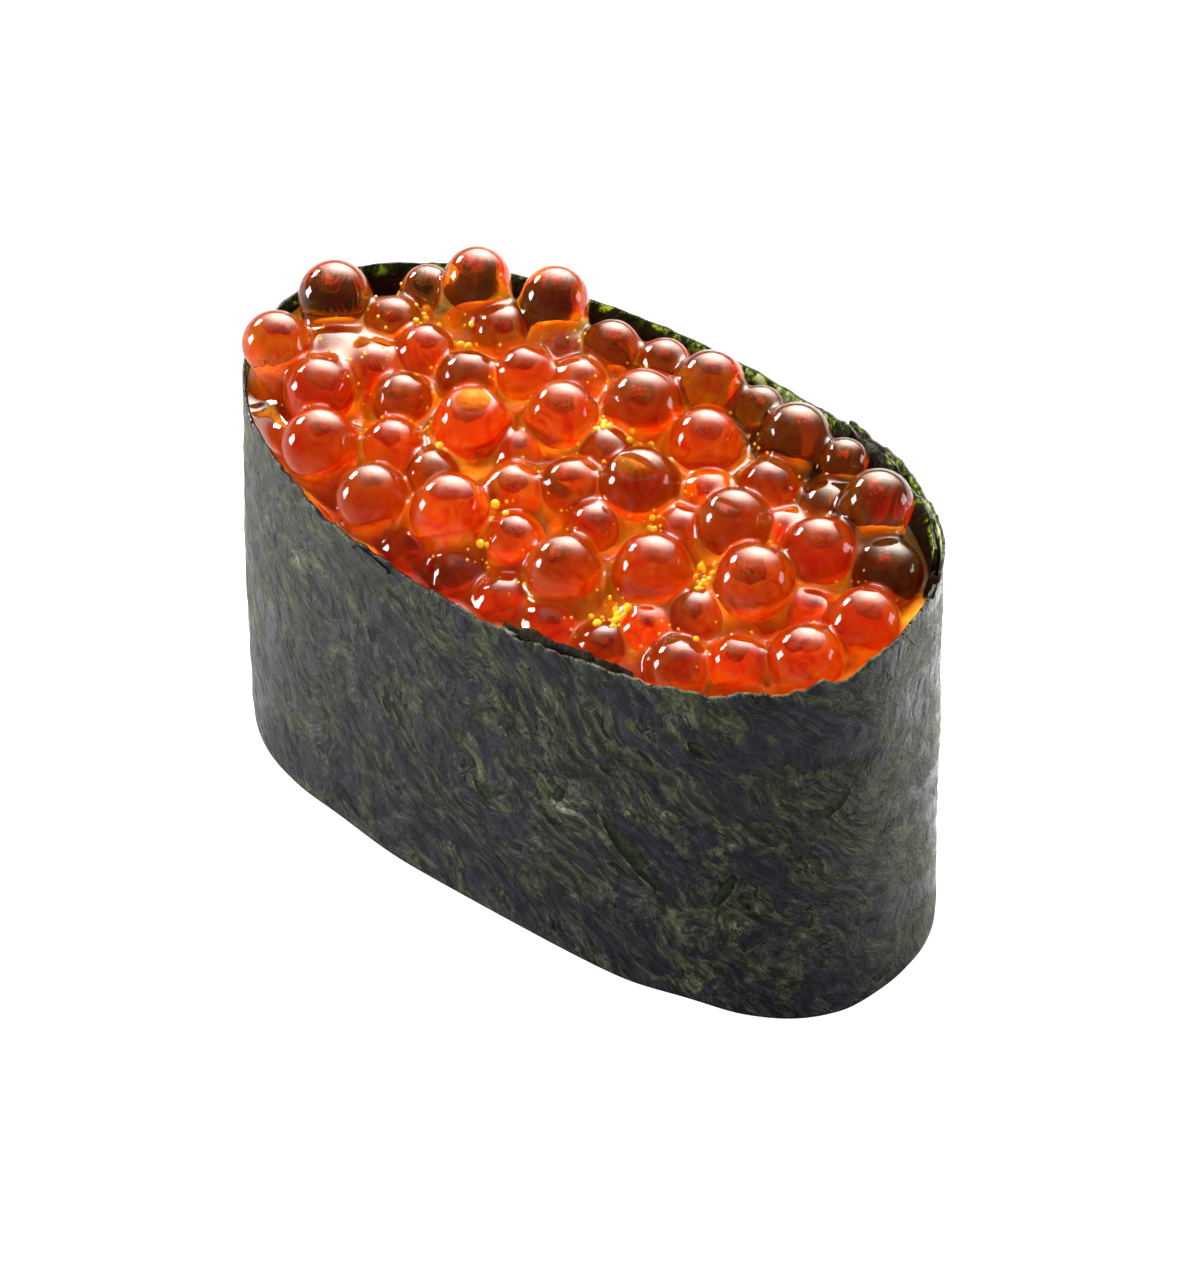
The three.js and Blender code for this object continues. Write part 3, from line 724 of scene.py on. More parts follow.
def wall_at(x, y):
    """Distance of plan points from the nori's inner face, the way inwards, and the rim's height there."""
    foot_x, foot_y = x, y
    for _ in range(WALL_STEPS):
        full, slope_x, slope_y, _ = outline_field(foot_x, foot_y)
        stride = (1 - full) / (np.hypot(slope_x, slope_y) + 1e-6) ** 2
        foot_x, foot_y = foot_x + stride * slope_x, foot_y + stride * slope_y
    _, slope_x, slope_y, angle = outline_field(foot_x, foot_y)
    slope = np.hypot(slope_x, slope_y) + 1e-6
    in_x, in_y = -slope_x / slope, -slope_y / slope
    depth = (x - foot_x) * in_x + (y - foot_y) * in_y
    return depth - NORI_THICKNESS - lap_inset(angle), in_x, in_y, rim_height(angle)


def filled_eggs():
    """The named eggs, and smaller ones in the widest plan gaps until none of the smallest size is left."""
    eggs = [
        (x, y, heap_height(x, y) + lift, radius) for radius, lift, places in EGG_GROUPS for x, y in places
    ]
    x, y = np.meshgrid(
        np.arange(-RIM_HALF_LENGTH, RIM_HALF_LENGTH, FILL_GRID),
        np.arange(-RIM_HALF_WIDTH, RIM_HALF_WIDTH + 0.1, FILL_GRID), indexing="ij",
    )
    room = wall_at(x, y)[0] - FIT_GAP
    for egg in eggs:
        room = np.minimum(room, np.hypot(egg[0] - x, egg[1] - y) - FILL_OVERLAP * egg[3])
    while room.max() > FILL_SMALLEST:
        best = np.unravel_index(np.argmax(room), room.shape)
        radius = min(room[best], FILL_LARGEST)
        eggs.append((x[best], y[best], heap_height(x[best], y[best]) - FILL_DROP, radius))
        room = np.minimum(room, np.hypot(x[best] - x, y[best] - y) - FILL_OVERLAP * radius)
    return np.array(eggs)


def settled_eggs():
    """Each egg moves by a share of every overlap with its neighbours, then clear of the wall or the rim."""
    eggs = filled_eggs()
    centres, radii = eggs[:, :3].copy(), eggs[:, 3]
    for _ in range(SETTLING_ROUNDS):
        apart = centres[:, None] - centres[None]
        distance = np.linalg.norm(apart, axis=-1) + np.eye(len(radii)) * 1e9
        overlap = np.maximum(0, radii[:, None] + radii[None] + EGG_GAP - distance)
        centres += (apart / distance[..., None] * overlap[..., None]).sum(1) * SETTLING_SHARE
        wall, in_x, in_y, rim = wall_at(centres[:, 0], centres[:, 1])
        above = np.maximum(0, centres[:, 2] - rim)
        reach = np.hypot(wall, above)
        press = np.maximum(0, radii + FIT_GAP - reach) / reach
        centres += np.stack([in_x * press * wall, in_y * press * wall, press * above], -1)
    return centres, radii


egg_centres, egg_radii = settled_eggs()


def heap_columns(count):
    """Angles that divide the rim's outline evenly by length."""
    dense = np.linspace(0, 2 * pi, 7201)
    x, y = superellipse(dense, RIM_HALF_LENGTH, RIM_HALF_WIDTH, RIM_SQUARENESS, RIM_TAPER, 0)
    length = np.concatenate([[0], np.cumsum(np.hypot(np.diff(x), np.diff(y)))])
    return np.interp(np.arange(count) / count * length[-1], length, dense)


def middle_point(angle):
    """The nearest point of the heap's middle line, a straight line short of both ends by half a width."""
    x, _ = superellipse(angle, RIM_HALF_LENGTH, RIM_HALF_WIDTH, RIM_SQUARENESS, RIM_TAPER, 0)
    return np.clip(x, -MIDDLE_LINE, MIDDLE_LINE)


def closed_heap(angle, upper, bottom):
    """Points and faces of a heap: its rows from the middle line out to the wall, then down inside the nori
    to the bottom and back in to the middle line."""
    columns = len(angle)
    side = []
    for share in (0.34, 0.67, 1.0):
        height = upper[-1, :, 2] + (bottom - upper[-1, :, 2]) * share
        side.append(np.column_stack([*wall_point(angle, height, INTO_NORI), height]))
    start = np.column_stack([upper[0, :, :2], np.full(columns, bottom)])
    base = [start + (side[-1] - start) * share for share in (0.66, 0.33, 0)]
    points = np.concatenate([upper, side, base])
    mirror = (-np.arange(columns)) % columns
    second_half = np.arange(columns) > columns // 2
    for row in (0, -1):
        points[row, second_half] = points[row, mirror[second_half]]
    return welded(points.reshape(-1, 3), grid_faces(len(points), columns, True))


def mass_height(x, y):
    """Bell-shaped bumps on one jittered lattice, below the heap's mean surface. The shore by the wall falls
    away from just under the rim, and a paraboloid pad rises under each egg that is near the wall."""
    draw = np.random.default_rng(MASS_SEED)
    rows, columns = int(RIM_HALF_WIDTH / MASS_SPACING) + 1, int(RIM_HALF_LENGTH / MASS_SPACING) + 1
    row, column = np.mgrid[-rows:rows + 1, -columns:columns + 1].reshape(2, -1)
    centre_x = (column + (row % 2) / 2) * MASS_SPACING + draw.uniform(-1, 1, row.size) * MASS_JITTER
    centre_y = row * MASS_SPACING * MASS_ROW_SHARE + draw.uniform(-1, 1, row.size) * MASS_JITTER
    deep = -MASS_EGG * MASS_HOLLOW
    top = np.full(x.shape, deep)
    for k in range(row.size):
        away = (x - centre_x[k]) ** 2 + (y - centre_y[k]) ** 2
        top = np.maximum(top, deep + MASS_BUMP * np.exp(-away / MASS_EGG ** 2))
    wall, _, in_y, rim = wall_at(x, y)
    sink = MASS_SINK * (1 - smoothstep(wall, 0, MASS_SINK_WIDTH)) * smoothstep(y, 0, 6)
    shore = rim - MASS_SHORE - MASS_SHORE_FALL * smoothstep(wall, 0.3, 4)
    shore = shore - MASS_FAR_FALL * smoothstep(-in_y, 0.15, 0.6)
    height = np.maximum(heap_height(x, y) - MASS_DEPTH + top - sink, shore)
    wall, _, in_y, _ = wall_at(egg_centres[:, 0], egg_centres[:, 1])
    padded = wall < egg_radii + MASS_PAD_REACH
    steep = MASS_PAD_FALL * (1 + smoothstep(-in_y, 0.1, 0.3))
    for centre, radius, fall in zip(egg_centres[padded], egg_radii[padded], steep[padded]):
        away = np.hypot(x - centre[0], y - centre[1]) / radius
        height = np.maximum(height, centre[2] - radius * (MASS_PAD + fall * away ** 2))
    return height


def roe_mass():
    """The heap from its middle line out to the nori, with three shares for its colour at each point: in a
    gap between eggs, in painted shade by the far rim, and in a painted deeper red glow by the near one."""
    angle = heap_columns(HEAP_COLUMNS // MASS_STEP)
    share = np.linspace(0, 1, HEAP_ROWS // MASS_STEP * 2)[:, None]
    wall_x, wall_y = wall_point(angle, rim_height(angle) - MASS_SHORE, INTO_NORI)
    start = middle_point(angle)
    x, y = start + (wall_x - start) * share, wall_y * share
    points, faces = closed_heap(angle, np.stack([x, y, mass_height(x, y)], -1), MASS_BOTTOM)
    gap = np.full(len(points), 99.0)
    for centre, radius in zip(egg_centres, egg_radii):
        gap = np.minimum(gap, np.hypot(points[:, 0] - centre[0], points[:, 1] - centre[1]) - radius)
    wall, _, in_y, _ = wall_at(points[:, 0], points[:, 1])
    # Painted shade on the mass near the far wall, where the nori keeps the light off.
    far_painted_shade = smoothstep(-in_y, 0.1, 0.5) * (1 - smoothstep(wall, 2.5, 6.5))
    far_painted_shade = far_painted_shade * (0.4 + 0.6 * smoothstep(gap, -1.8, -0.9))
    shares = {
        "gap": smoothstep(gap, -0.9, 0.5) * smoothstep(wall, 1.0, 3.5),
        "far_painted_shade": 0.85 * far_painted_shade * smoothstep(points[:, 0], 1, 9),
        # Painted glow: the mass turns deeper red by the near rim.
        "near_painted_glow": 0.8 * smoothstep(in_y, -0.3, 0.3) * (1 - smoothstep(wall, 1.5, 7)),
    }
    return points, faces, shares


mass_finish, mass_tree, mass_shader, _ = new_material(
    "crowded_roe",  # salmon eggs in bulk: soft, wet, glowing orange red, more amber in the gaps
    {"Roughness": 0.5, "Specular IOR Level": 0.1},
)
# Cells 3.7 mm apart, as crowded eggs lie, their edges pushed about by a cloud with patches of 2.4 mm.
mass_place = node(mass_tree, "ShaderNodeTexCoord").outputs["Object"]
mass_cloud = node(mass_tree, "ShaderNodeTexNoise", {"Vector": mass_place, "Scale": 420, "Detail": 4})
mass_swirl = node(
    mass_tree, "ShaderNodeVectorMath", {0: mass_cloud.outputs["Color"], "Scale": 0.0032}, operation="SCALE"
)
mass_bend = {0: mass_place, 1: mass_swirl.outputs[0]}
mass_bent = node(mass_tree, "ShaderNodeVectorMath", mass_bend, operation="ADD").outputs[0]
mass_cells = node(mass_tree, "ShaderNodeTexVoronoi", {"Vector": mass_bent, "Scale": 270}, feature="F1")
mass_red = node(mass_tree, "ShaderNodeValToRGB", {0: mass_cells.outputs["Distance"]}, stops=MASS_REDS)
mass_gold = node(mass_tree, "ShaderNodeValToRGB", {0: mass_cloud.outputs[0]}, stops=MASS_GOLDS)
# The last two layers are painted light: a painted red glow by the near rim and painted shade by the far rim.
mass_layers = [("gap", mass_gold.outputs[0]), ("near_painted_glow", linear(MASS_PAINTED_GLOW)), ("far_painted_shade", linear(MASS_PAINTED_SHADE))]
mass_colour = mass_red.outputs[0]
for label, over in mass_layers:
    share = node(mass_tree, "ShaderNodeAttribute", attribute_name=label).outputs["Fac"]
    layer = {0: share, 6: mass_colour, 7: over}
    mass_colour = node(mass_tree, "ShaderNodeMix", layer, data_type="RGBA").outputs[2]
mass_tree.links.new(mass_colour, mass_shader.inputs["Base Color"])

mass_points, mass_faces, mass_shares = roe_mass()
roe_heart = mesh_piece("roe_mass", mass_points, mass_faces, mass_finish, mass_shares)
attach(roe_heart, "root")
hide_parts("salmon_roe")

# ---------------------------------------------------------------- roe eggs
# The salmon eggs of the top layer: thin clear skins full of clear orange-red yolk, each a slightly
# uneven ball. They lie about a quarter sunk in the syrup, which films them all over.

EGG_FILM = 0.08
EGG_RINGS = 20
EGG_SIDES = 32
EGG_DENT = 0.02
EGG_SEED = 41
YOLK_TONES = [(0.36, "#f86c12"), (0.48, "#ffa838"), (0.6, "#ffcc58")]
YOLK_CLEAR = (0.99, 0.88, 0.3, 1.0)
YOLK_DENSITY = 100.0


def egg_bodies():
    """Balls with three low waves of dent over them, a film's thickness inside their place in the heap."""
    form, faces = ball_form(EGG_RINGS, EGG_SIDES)
    draw = np.random.default_rng(EGG_SEED)
    phase = draw.uniform(0, 2 * pi, (len(egg_radii), 3, 1))
    wave = np.sin(2.3 * form[None, :, 0] + phase[:, 0]) + np.sin(2.1 * form[None, :, 1] + phase[:, 1])
    wave = wave + np.sin(2.7 * form[None, :, 2] + phase[:, 2])
    size = (egg_radii[:, None] - EGG_FILM) * (1 - EGG_DENT * (1 + wave / 3) / 2)
    return copies(form, faces, form[None] * size[..., None] + egg_centres[:, None])


yolk_finish, yolk_tree, yolk_shader, yolk_output = new_material(
    "clear_salmon_yolk",  # yolk behind a clear skin: it bends light hardly more than the syrup does
    {"Roughness": 0.0, "IOR": 1.03, "Transmission Weight": 0.965},
)
# Swirls of denser yolk 1.6 mm across, a third of an egg.
yolk_place = node(yolk_tree, "ShaderNodeTexCoord").outputs["Object"]
yolk_cloud = node(
    yolk_tree, "ShaderNodeTexNoise",
    {"Vector": yolk_place, "Scale": 620, "Detail": 4, "Roughness": 0.6, "Distortion": 1.2},
)
yolk_tone = node(yolk_tree, "ShaderNodeValToRGB", {0: yolk_cloud.outputs[0]}, stops=YOLK_TONES)
yolk_tree.links.new(yolk_tone.outputs[0], yolk_shader.inputs["Base Color"])
yolk_inside = node(yolk_tree, "ShaderNodeVolumeAbsorption", {"Color": YOLK_CLEAR, "Density": YOLK_DENSITY})
yolk_tree.links.new(yolk_inside.outputs[0], yolk_output.inputs["Volume"])

egg_points, egg_faces = egg_bodies()
roe_eggs = mesh_piece("roe_eggs", egg_points, egg_faces, yolk_finish)
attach(roe_eggs, "root")
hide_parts("salmon_roe")

# ---------------------------------------------------------------- oil drops
# Each egg holds red oil that floats up under the top of its skin: a soft clear cap of oil with a
# ragged edge, and a cluster of tiny drops crowded round and in it. It shows as a deep red spot.

CAP_RINGS = 12
CAP_SIDES = 20
# Sizes of the caps and drops are in egg radii.
CAP_LEVEL = 0.5
CAP_WIDTH = 0.4
CAP_THICKNESS = 0.22
CAP_RAGGED = 0.24
CAP_REACH = 0.88
OIL_SEED = 51
OIL_OFF_MIDDLE = 0.1
OIL_TINT = "#ffdcb0"
OIL_CLEAR = (0.99, 0.45, 0.2, 1.0)
OIL_DENSITY = 1300.0
DROPS_AN_EGG = 28
DROP_LARGEST = 0.055
DROP_SMALL_SHARE = 0.3
DROP_SPREAD = 0.085
DROP_LEVEL_SPREAD = 0.03
DROP_TONES = [(0.3, "#c02c08"), (0.7, "#e04c10")]


def oil_leans():
    """How far each egg's oil sits off its middle, in egg radii."""
    return np.random.default_rng(OIL_SEED).normal(0, OIL_OFF_MIDDLE, (len(egg_radii), 1, 2))


def oil_caps():
    """For each egg an oblate ball under the top of its skin, its plan radius ragged by waves round it."""
    form, faces = ball_form(CAP_RINGS, CAP_SIDES)
    count = len(egg_radii)
    draw = np.random.default_rng(OIL_SEED + 1)
    phase = draw.uniform(0, 2 * pi, (count, 4, 1))
    width = CAP_WIDTH * draw.uniform(0.75, 1.1, (count, 1))
    round_axis = np.arctan2(form[:, 1], form[:, 0])[None]
    ragged = np.sin(2 * round_axis + phase[:, 0]) + np.sin(3 * round_axis + phase[:, 1])
    ragged = ragged + 0.7 * np.sin(5 * round_axis + phase[:, 2]) + 0.5 * np.sin(8 * round_axis + phase[:, 3])
    radius = width * (1 + CAP_RAGGED * ragged / 2)
    plan = form[None, :, :2] * radius[..., None] + oil_leans()
    height = CAP_LEVEL + CAP_THICKNESS * form[None, :, 2] + 0 * radius
    places = np.concatenate([plan, height[..., None]], -1)
    reach = np.linalg.norm(places, axis=-1, keepdims=True)
    places = places * np.minimum(1, CAP_REACH / reach)
    return copies(form, faces, places * egg_radii[:, None, None] + egg_centres[:, None])


def oil_drops():
    """For each egg a seeded cluster of balls round its cap of oil."""
    form, faces = ball_form(5, 7)
    draw = np.random.default_rng(OIL_SEED + 2)
    count = len(egg_radii)
    spread = draw.normal(0, DROP_SPREAD, (count, DROPS_AN_EGG, 2)) + oil_leans()
    level = CAP_LEVEL - 0.4 * (spread ** 2).sum(-1) + draw.normal(0, DROP_LEVEL_SPREAD, (count, DROPS_AN_EGG))
    size = draw.uniform(DROP_SMALL_SHARE, 1, (count, DROPS_AN_EGG)) * DROP_LARGEST
    middle = np.concatenate([spread, level[..., None]], -1) * egg_radii[:, None, None] + egg_centres[:, None]
    radius = (size * egg_radii[:, None]).reshape(-1, 1, 1)
    return copies(form, faces, form[None] * radius + middle.reshape(-1, 1, 3))


oil_finish, oil_tree, _, oil_output = new_material(
    "clear_roe_oil",  # red-orange carotenoid oil: clear, it only colours the light that comes through
    {"Base Color": linear(OIL_TINT), "Roughness": 0.0, "IOR": 1.01, "Transmission Weight": 0.95},
)
oil_inside = node(oil_tree, "ShaderNodeVolumeAbsorption", {"Color": OIL_CLEAR, "Density": OIL_DENSITY})
oil_tree.links.new(oil_inside.outputs[0], oil_output.inputs["Volume"])

drop_finish, drop_tree, drop_shader, _ = new_material(
    "roe_oil_drops",  # the same oil in tiny drops: they scatter light, so they show as a red grain
    {"Roughness": 0.4, "Specular IOR Level": 0.1},
)
# Redder and paler drops in patches of 1.1 mm.
drop_place = node(drop_tree, "ShaderNodeTexCoord").outputs["Object"]
drop_cloud = node(drop_tree, "ShaderNodeTexNoise", {"Vector": drop_place, "Scale": 900, "Detail": 2})
drop_tone = node(drop_tree, "ShaderNodeValToRGB", {0: drop_cloud.outputs[0]}, stops=DROP_TONES)
drop_tree.links.new(drop_tone.outputs[0], drop_shader.inputs["Base Color"])

cap_points, cap_faces = oil_caps()
roe_caps = mesh_piece("roe_oil_caps", cap_points, cap_faces, oil_finish)
drop_points, drop_faces = oil_drops()
roe_drops = mesh_piece("roe_oil_drops", drop_points, drop_faces, drop_finish)
for piece in (roe_caps, roe_drops):
    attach(piece, "root")
    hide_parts("salmon_roe")

# ---------------------------------------------------------------- syrup
# The roe's own juice with soy and sweet sake, thick and clear amber. It fills the gaps between the
# eggs, climbs their sides in small menisci, films their tops and meets the nori just below its rim.

# Lines start this far below the level, lean out by up to these degrees, and crowd where the syrup turns
# down to the nori.
SYRUP_ORIGIN = 1.7
SYRUP_LEAN = 86
LEAN_FROM = 0.72
CORNER_SHARE = 0.87
CORNER_SPREAD = 0.05
CORNER_CROWDING = 4.0
MARCH_FROM = 7.5
MARCH_SHARE = 0.65
MARCH_STEPS = 160
TOLERANCE = 0.0005
# The syrup's level and droop, its menisci, its edge at the rim, its pool and its fall at the back.
SYRUP_DEPTH = 0.4
SYRUP_SETTLED = 0.8
SYRUP_DROOP = 0.8
DROOP_FROM = (-8, 5)
DROOP_TO = (4, 12)
MENISCUS = 0.45
SYRUP_AT_RIM = 0.45
SYRUP_LINE = 2
ORIGIN_AT_RIM = 0.85
SYRUP_RIM_BAND = 1.4
SYRUP_WAVE = 0.5
SYRUP_WAVE_CELL = 2.0
SYRUP_SEED = 61
SKIRT = 0.4
SYRUP_POOL = (-19.6, -0.8)
POOL_HEIGHT = 34.5
POOL_REACH = 3.3
SYRUP_FALL = 2.4
SYRUP_FALL_WIDTH = 2.6
SYRUP_BOTTOM = 26.0
SYRUP_CLEAR = (0.99, 0.84, 0.2, 1.0)
SYRUP_DENSITY = 180.0


def syrup_height(x, y):
    """Level of the syrup between the eggs: a little wavy, fallen away from the nori at the back, and raised
    to a flat pool near one end."""
    droop = smoothstep(x, DROOP_FROM[0], DROOP_TO[0]) * smoothstep(y, DROOP_FROM[1], DROOP_TO[1])
    wave = SYRUP_WAVE * uneven(x, y, SYRUP_WAVE_CELL, SYRUP_SEED)
    wall, _, in_y, _ = wall_at(x, y)
    fall = SYRUP_FALL * smoothstep(-in_y, 0.2, 0.7) * (1 - smoothstep(wall, 0.3, SYRUP_FALL_WIDTH))
    level = heap_height(x, y) - SYRUP_DEPTH - SYRUP_SETTLED - SYRUP_DROOP * droop + wave - fall
    pool = np.exp(-(np.hypot(x - SYRUP_POOL[0], y - SYRUP_POOL[1]) / POOL_REACH) ** 4)
    return level + (POOL_HEIGHT - level) * pool


def wet_distance(points):
    """Signed distance from the wet surface. Below its middle each egg away from the wall wears a skirt of
    syrup, a cone. Eggs, skirts and level are blended by a soft minimum, and the level is drawn down to just
    under the rim at the wall."""
    x, y, z = points.T
    wall, _, _, rim = wall_at(x, y)
    level = syrup_height(x, y)
    near_wall = 1 - smoothstep(wall, 0, SYRUP_RIM_BAND)
    level = level + (np.minimum(level, rim - SYRUP_AT_RIM) - level) * near_wall
    blend = np.exp(np.minimum(-np.maximum(z - level, -(wall + INTO_NORI)) / MENISCUS, 60))
    skirted = smoothstep(wall, 1.0, 3.5)
    for centre, radius in zip(egg_centres, egg_radii):
        over, under = np.maximum(z - centre[2], 0), np.minimum(z - centre[2], 0)
        away = np.sqrt((x - centre[0]) ** 2 + (y - centre[1]) ** 2 + over ** 2 + (1 - skirted) * under ** 2)
        away = away - radius + SKIRT * skirted * under
        blend += np.exp(np.minimum(-away / MENISCUS, 60))
    return -MENISCUS * np.log(np.maximum(blend, 1e-30))


def wet_surface(origin, way):
    """The outermost wet point on each line, found by stepping inwards by the distance that is left."""
    reach = np.full(len(origin), MARCH_FROM)
    moving = np.arange(len(origin))
    for _ in range(MARCH_STEPS):
        gap = wet_distance(origin[moving] + way[moving] * reach[moving, None])
        reach[moving] = np.maximum(reach[moving] - MARCH_SHARE * gap, 0)
        moving = moving[(gap > TOLERANCE) & (reach[moving] > 0)]
    return origin + way * reach[:, None]


def syrup_skin():
    """Rows of lines from the middle line out to the wall, upright at first and leaning out more and more
    towards the rim, each followed to the wet surface, then closed down inside the nori."""
    angle = heap_columns(HEAP_COLUMNS)
    even = np.linspace(0, 1, 1001)
    crowding = np.cumsum(1 + CORNER_CROWDING * np.exp(-((even - CORNER_SHARE) / CORNER_SPREAD) ** 2))
    crowding = (crowding - crowding[0]) / (crowding[-1] - crowding[0])
    share = np.interp(np.linspace(0, 1, HEAP_ROWS), crowding, even)[:, None]
    wall_x, wall_y = wall_point(angle, rim_height(angle) - SYRUP_LINE, INTO_NORI)
    start = middle_point(angle)
    out_x, out_y = wall_x - start, wall_y
    size = np.hypot(out_x, out_y)
    x, y = start + out_x * share, out_y * share
    lean = radians(SYRUP_LEAN) * smoothstep(share, LEAN_FROM, 1)
    out = np.sin(lean)
    way = np.stack(np.broadcast_arrays(out_x / size * out, out_y / size * out, np.cos(lean) + 0 * x), -1)
    sunk = SYRUP_ORIGIN + (ORIGIN_AT_RIM - SYRUP_ORIGIN) * smoothstep(share, 0.8, 1)
    low = np.minimum(syrup_height(x, y), rim_height(angle)[None] + 0 * x) - sunk
    origin = np.stack([x, y, low], -1)
    wet = wet_surface(origin.reshape(-1, 3), way.reshape(-1, 3)).reshape(origin.shape)
    return closed_heap(angle, wet, SYRUP_BOTTOM)


syrup_finish, syrup_tree, _, syrup_output = new_material(
    "amber_roe_syrup",  # clear sugary liquid: mirror-smooth, faintly amber, deeper where it is deep
    {"Base Color": (1, 1, 1, 1), "Roughness": 0.0, "IOR": 1.37, "Transmission Weight": 1.0},
)
syrup_inside = node(
    syrup_tree, "ShaderNodeVolumeAbsorption", {"Color": SYRUP_CLEAR, "Density": SYRUP_DENSITY}
)
syrup_tree.links.new(syrup_inside.outputs[0], syrup_output.inputs["Volume"])

syrup_points, syrup_faces = syrup_skin()
syrup = mesh_piece("roe_syrup", syrup_points, syrup_faces, syrup_finish)
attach(syrup, "root")
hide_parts("salmon_roe")

# ---------------------------------------------------------------- bubbles
# Small air bubbles whipped into the syrup when the roe was stirred. They float half sunk in the
# valleys between the eggs, the larger ones in a few clusters, the smallest strewn all over.

# Middle of each cluster in plan, and its share of the bubbles.
BUBBLE_CLUSTERS = [
    (0.4, 2.2, 7), (-7, 9.5, 9), (-8.6, -5.6, 3), (7.6, -1.7, 4), (9.9, -8.1, 12), (13.3, -5.8, 9),
    (13.3, -4.4, 8), (12.2, -2.5, 4), (3.1, 2.6, 9), (-17.3, 4.9, 5), (-13, 4.4, 5), (-2, -7, 6),
]
BUBBLES_A_SHARE = 4
BUBBLE_SPREAD = 1.0
BUBBLE_LARGEST = 0.36
BUBBLE_SMALLEST = 0.1
BUBBLE_RARITY = 2.2
BUBBLE_STRAYS = 1100
STRAY_LARGEST = 0.13
STRAY_SMALLEST = 0.05
STRAY_FROM_NORI = 1.5
VALLEY_RISE = 1.7
BUBBLE_SINK = 0.1
BUBBLE_SEED = 71
BUBBLE_GOLD = "#ffc424"


def bubble_beads():
    """Balls of uneven size half sunk in the wet surface, scattered round each cluster's place, small ones
    the commonest, with strays anywhere. Those that would sit on top of an egg are left out."""
    form, faces = ball_form(8, 12)
    draw = np.random.default_rng(BUBBLE_SEED)
    plan = np.vstack([
        draw.normal((x, y), BUBBLE_SPREAD, (BUBBLES_A_SHARE * share, 2)) for x, y, share in BUBBLE_CLUSTERS
    ])
    size = draw.uniform(0, 1, len(plan)) ** BUBBLE_RARITY
    radius = BUBBLE_SMALLEST + (BUBBLE_LARGEST - BUBBLE_SMALLEST) * size
    strays = draw.uniform(-1, 1, (BUBBLE_STRAYS, 2)) * (RIM_HALF_LENGTH, RIM_HALF_WIDTH)
    strays = strays[wall_at(strays[:, 0], strays[:, 1])[0] > STRAY_FROM_NORI]
    plan = np.vstack([plan, strays])
    radius = np.concatenate([radius, draw.uniform(STRAY_SMALLEST, STRAY_LARGEST, len(strays))])
    low = np.column_stack([plan, syrup_height(plan[:, 0], plan[:, 1]) - SYRUP_ORIGIN])
    top = wet_surface(low, np.tile((0.0, 0.0, 1.0), (len(plan), 1)))
    in_valley = top[:, 2] < syrup_height(plan[:, 0], plan[:, 1]) + VALLEY_RISE
    top, radius = top[in_valley], radius[in_valley]
    top[:, 2] -= radius * BUBBLE_SINK
    return copies(form, faces, form[None] * radius[:, None, None] + top[:, None])


bubble_finish = new_material(
    "syrup_bubble",  # a film of amber syrup round air: a glossy golden bead that lets a little light through
    {"Base Color": linear(BUBBLE_GOLD), "Roughness": 0.05, "IOR": 1.33, "Transmission Weight": 0.15},
)[0]

bubble_points, bubble_faces = bubble_beads()
bubbles = mesh_piece("syrup_bubbles", bubble_points, bubble_faces, bubble_finish)
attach(bubbles, "root")
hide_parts("salmon_roe")

# ---------------------------------------------------------------- floor, light and camera
# A plain white light table, lit from below behind the sushi alone, so that its light comes through
# the roe. A large soft diffuser hangs overhead and behind, a strip and a lamp on the left make the
# bright points on the eggs, a card brightens the right end, and a soft fill lights the front.

CAMERA_RIGHT = (0.8052, 0.593, 0)
CAMERA_AWAY = (-0.593, 0.8052, 0)
FLOOR_HALF = 1500
FLOOR_GREY = "#6e6e6e"
FLOOR_GLOW = 1.1
BACK_GLOW = 1.7
BACK_GLOW_RAMPS = [(CAMERA_AWAY, -18, 12, 0.0), (CAMERA_RIGHT, -20, 25, 0.19)]
DIFFUSER_COLOUR = "#fffaee"
DIFFUSER_RADIANCE = 2.0
DIFFUSER_CORE = 13.0
DIFFUSER_CORE_TILT = 0.92
DIFFUSER_CORE_REACH = 0.72
DIFFUSER_CORE_SIDE = 0.15
DIFFUSER_CORE_SIDE_REACH = 0.72
DIFFUSER_FRONT_EDGE = (-0.3, 0.5)
DIFFUSER_BACK_EDGE = (1.25, 1.5)
DIFFUSER_SIDE = 0.1
DIFFUSER_SIDE_EDGE = (0.45, 0.8)
ROOM_RADIANCE = 0.12
LAMPS_AIM = (0, 0, 0.03)
WHITE = (1, 1, 1, 1)
CAMERA_PLACE = (124.02, -167.12, 217.56)
CAMERA_TARGET = (0.609, 0.448, 16.596)
CAMERA_LENS = 114.5
CAMERA_CLIP = 0.01

floor_finish, floor_tree, floor_shader, _ = new_material(
    "backlit_acrylic",  # a plain matt sheet of white acrylic: it glows evenly and mirrors nothing
    {"Base Color": linear(FLOOR_GREY), "Roughness": 0.9, "Specular IOR Level": 0.1, "Emission Color": WHITE},
)
floor_place = node(floor_tree, "ShaderNodeTexCoord").outputs["Object"]
back_glow = BACK_GLOW
for axis, start, end, least in BACK_GLOW_RAMPS:
    part = node(floor_tree, "ShaderNodeVectorMath", {0: floor_place, 1: axis}, operation="DOT_PRODUCT")
    ramp = {0: part.outputs["Value"], 1: start * MM, 2: end * MM, 3: least, 4: 1.0}
    share = node(floor_tree, "ShaderNodeMapRange", ramp).outputs[0]
    back_glow = share_of(floor_tree, back_glow, share)
floor_seen = node(floor_tree, "ShaderNodeLightPath").outputs["Is Camera Ray"]
floor_glows = {0: floor_seen, 2: back_glow, 3: FLOOR_GLOW}
floor_glow = node(floor_tree, "ShaderNodeMix", floor_glows, data_type="FLOAT")
floor_tree.links.new(floor_glow.outputs[0], floor_shader.inputs["Emission Strength"])
floor_mesh = bpy.data.meshes.new("floor")
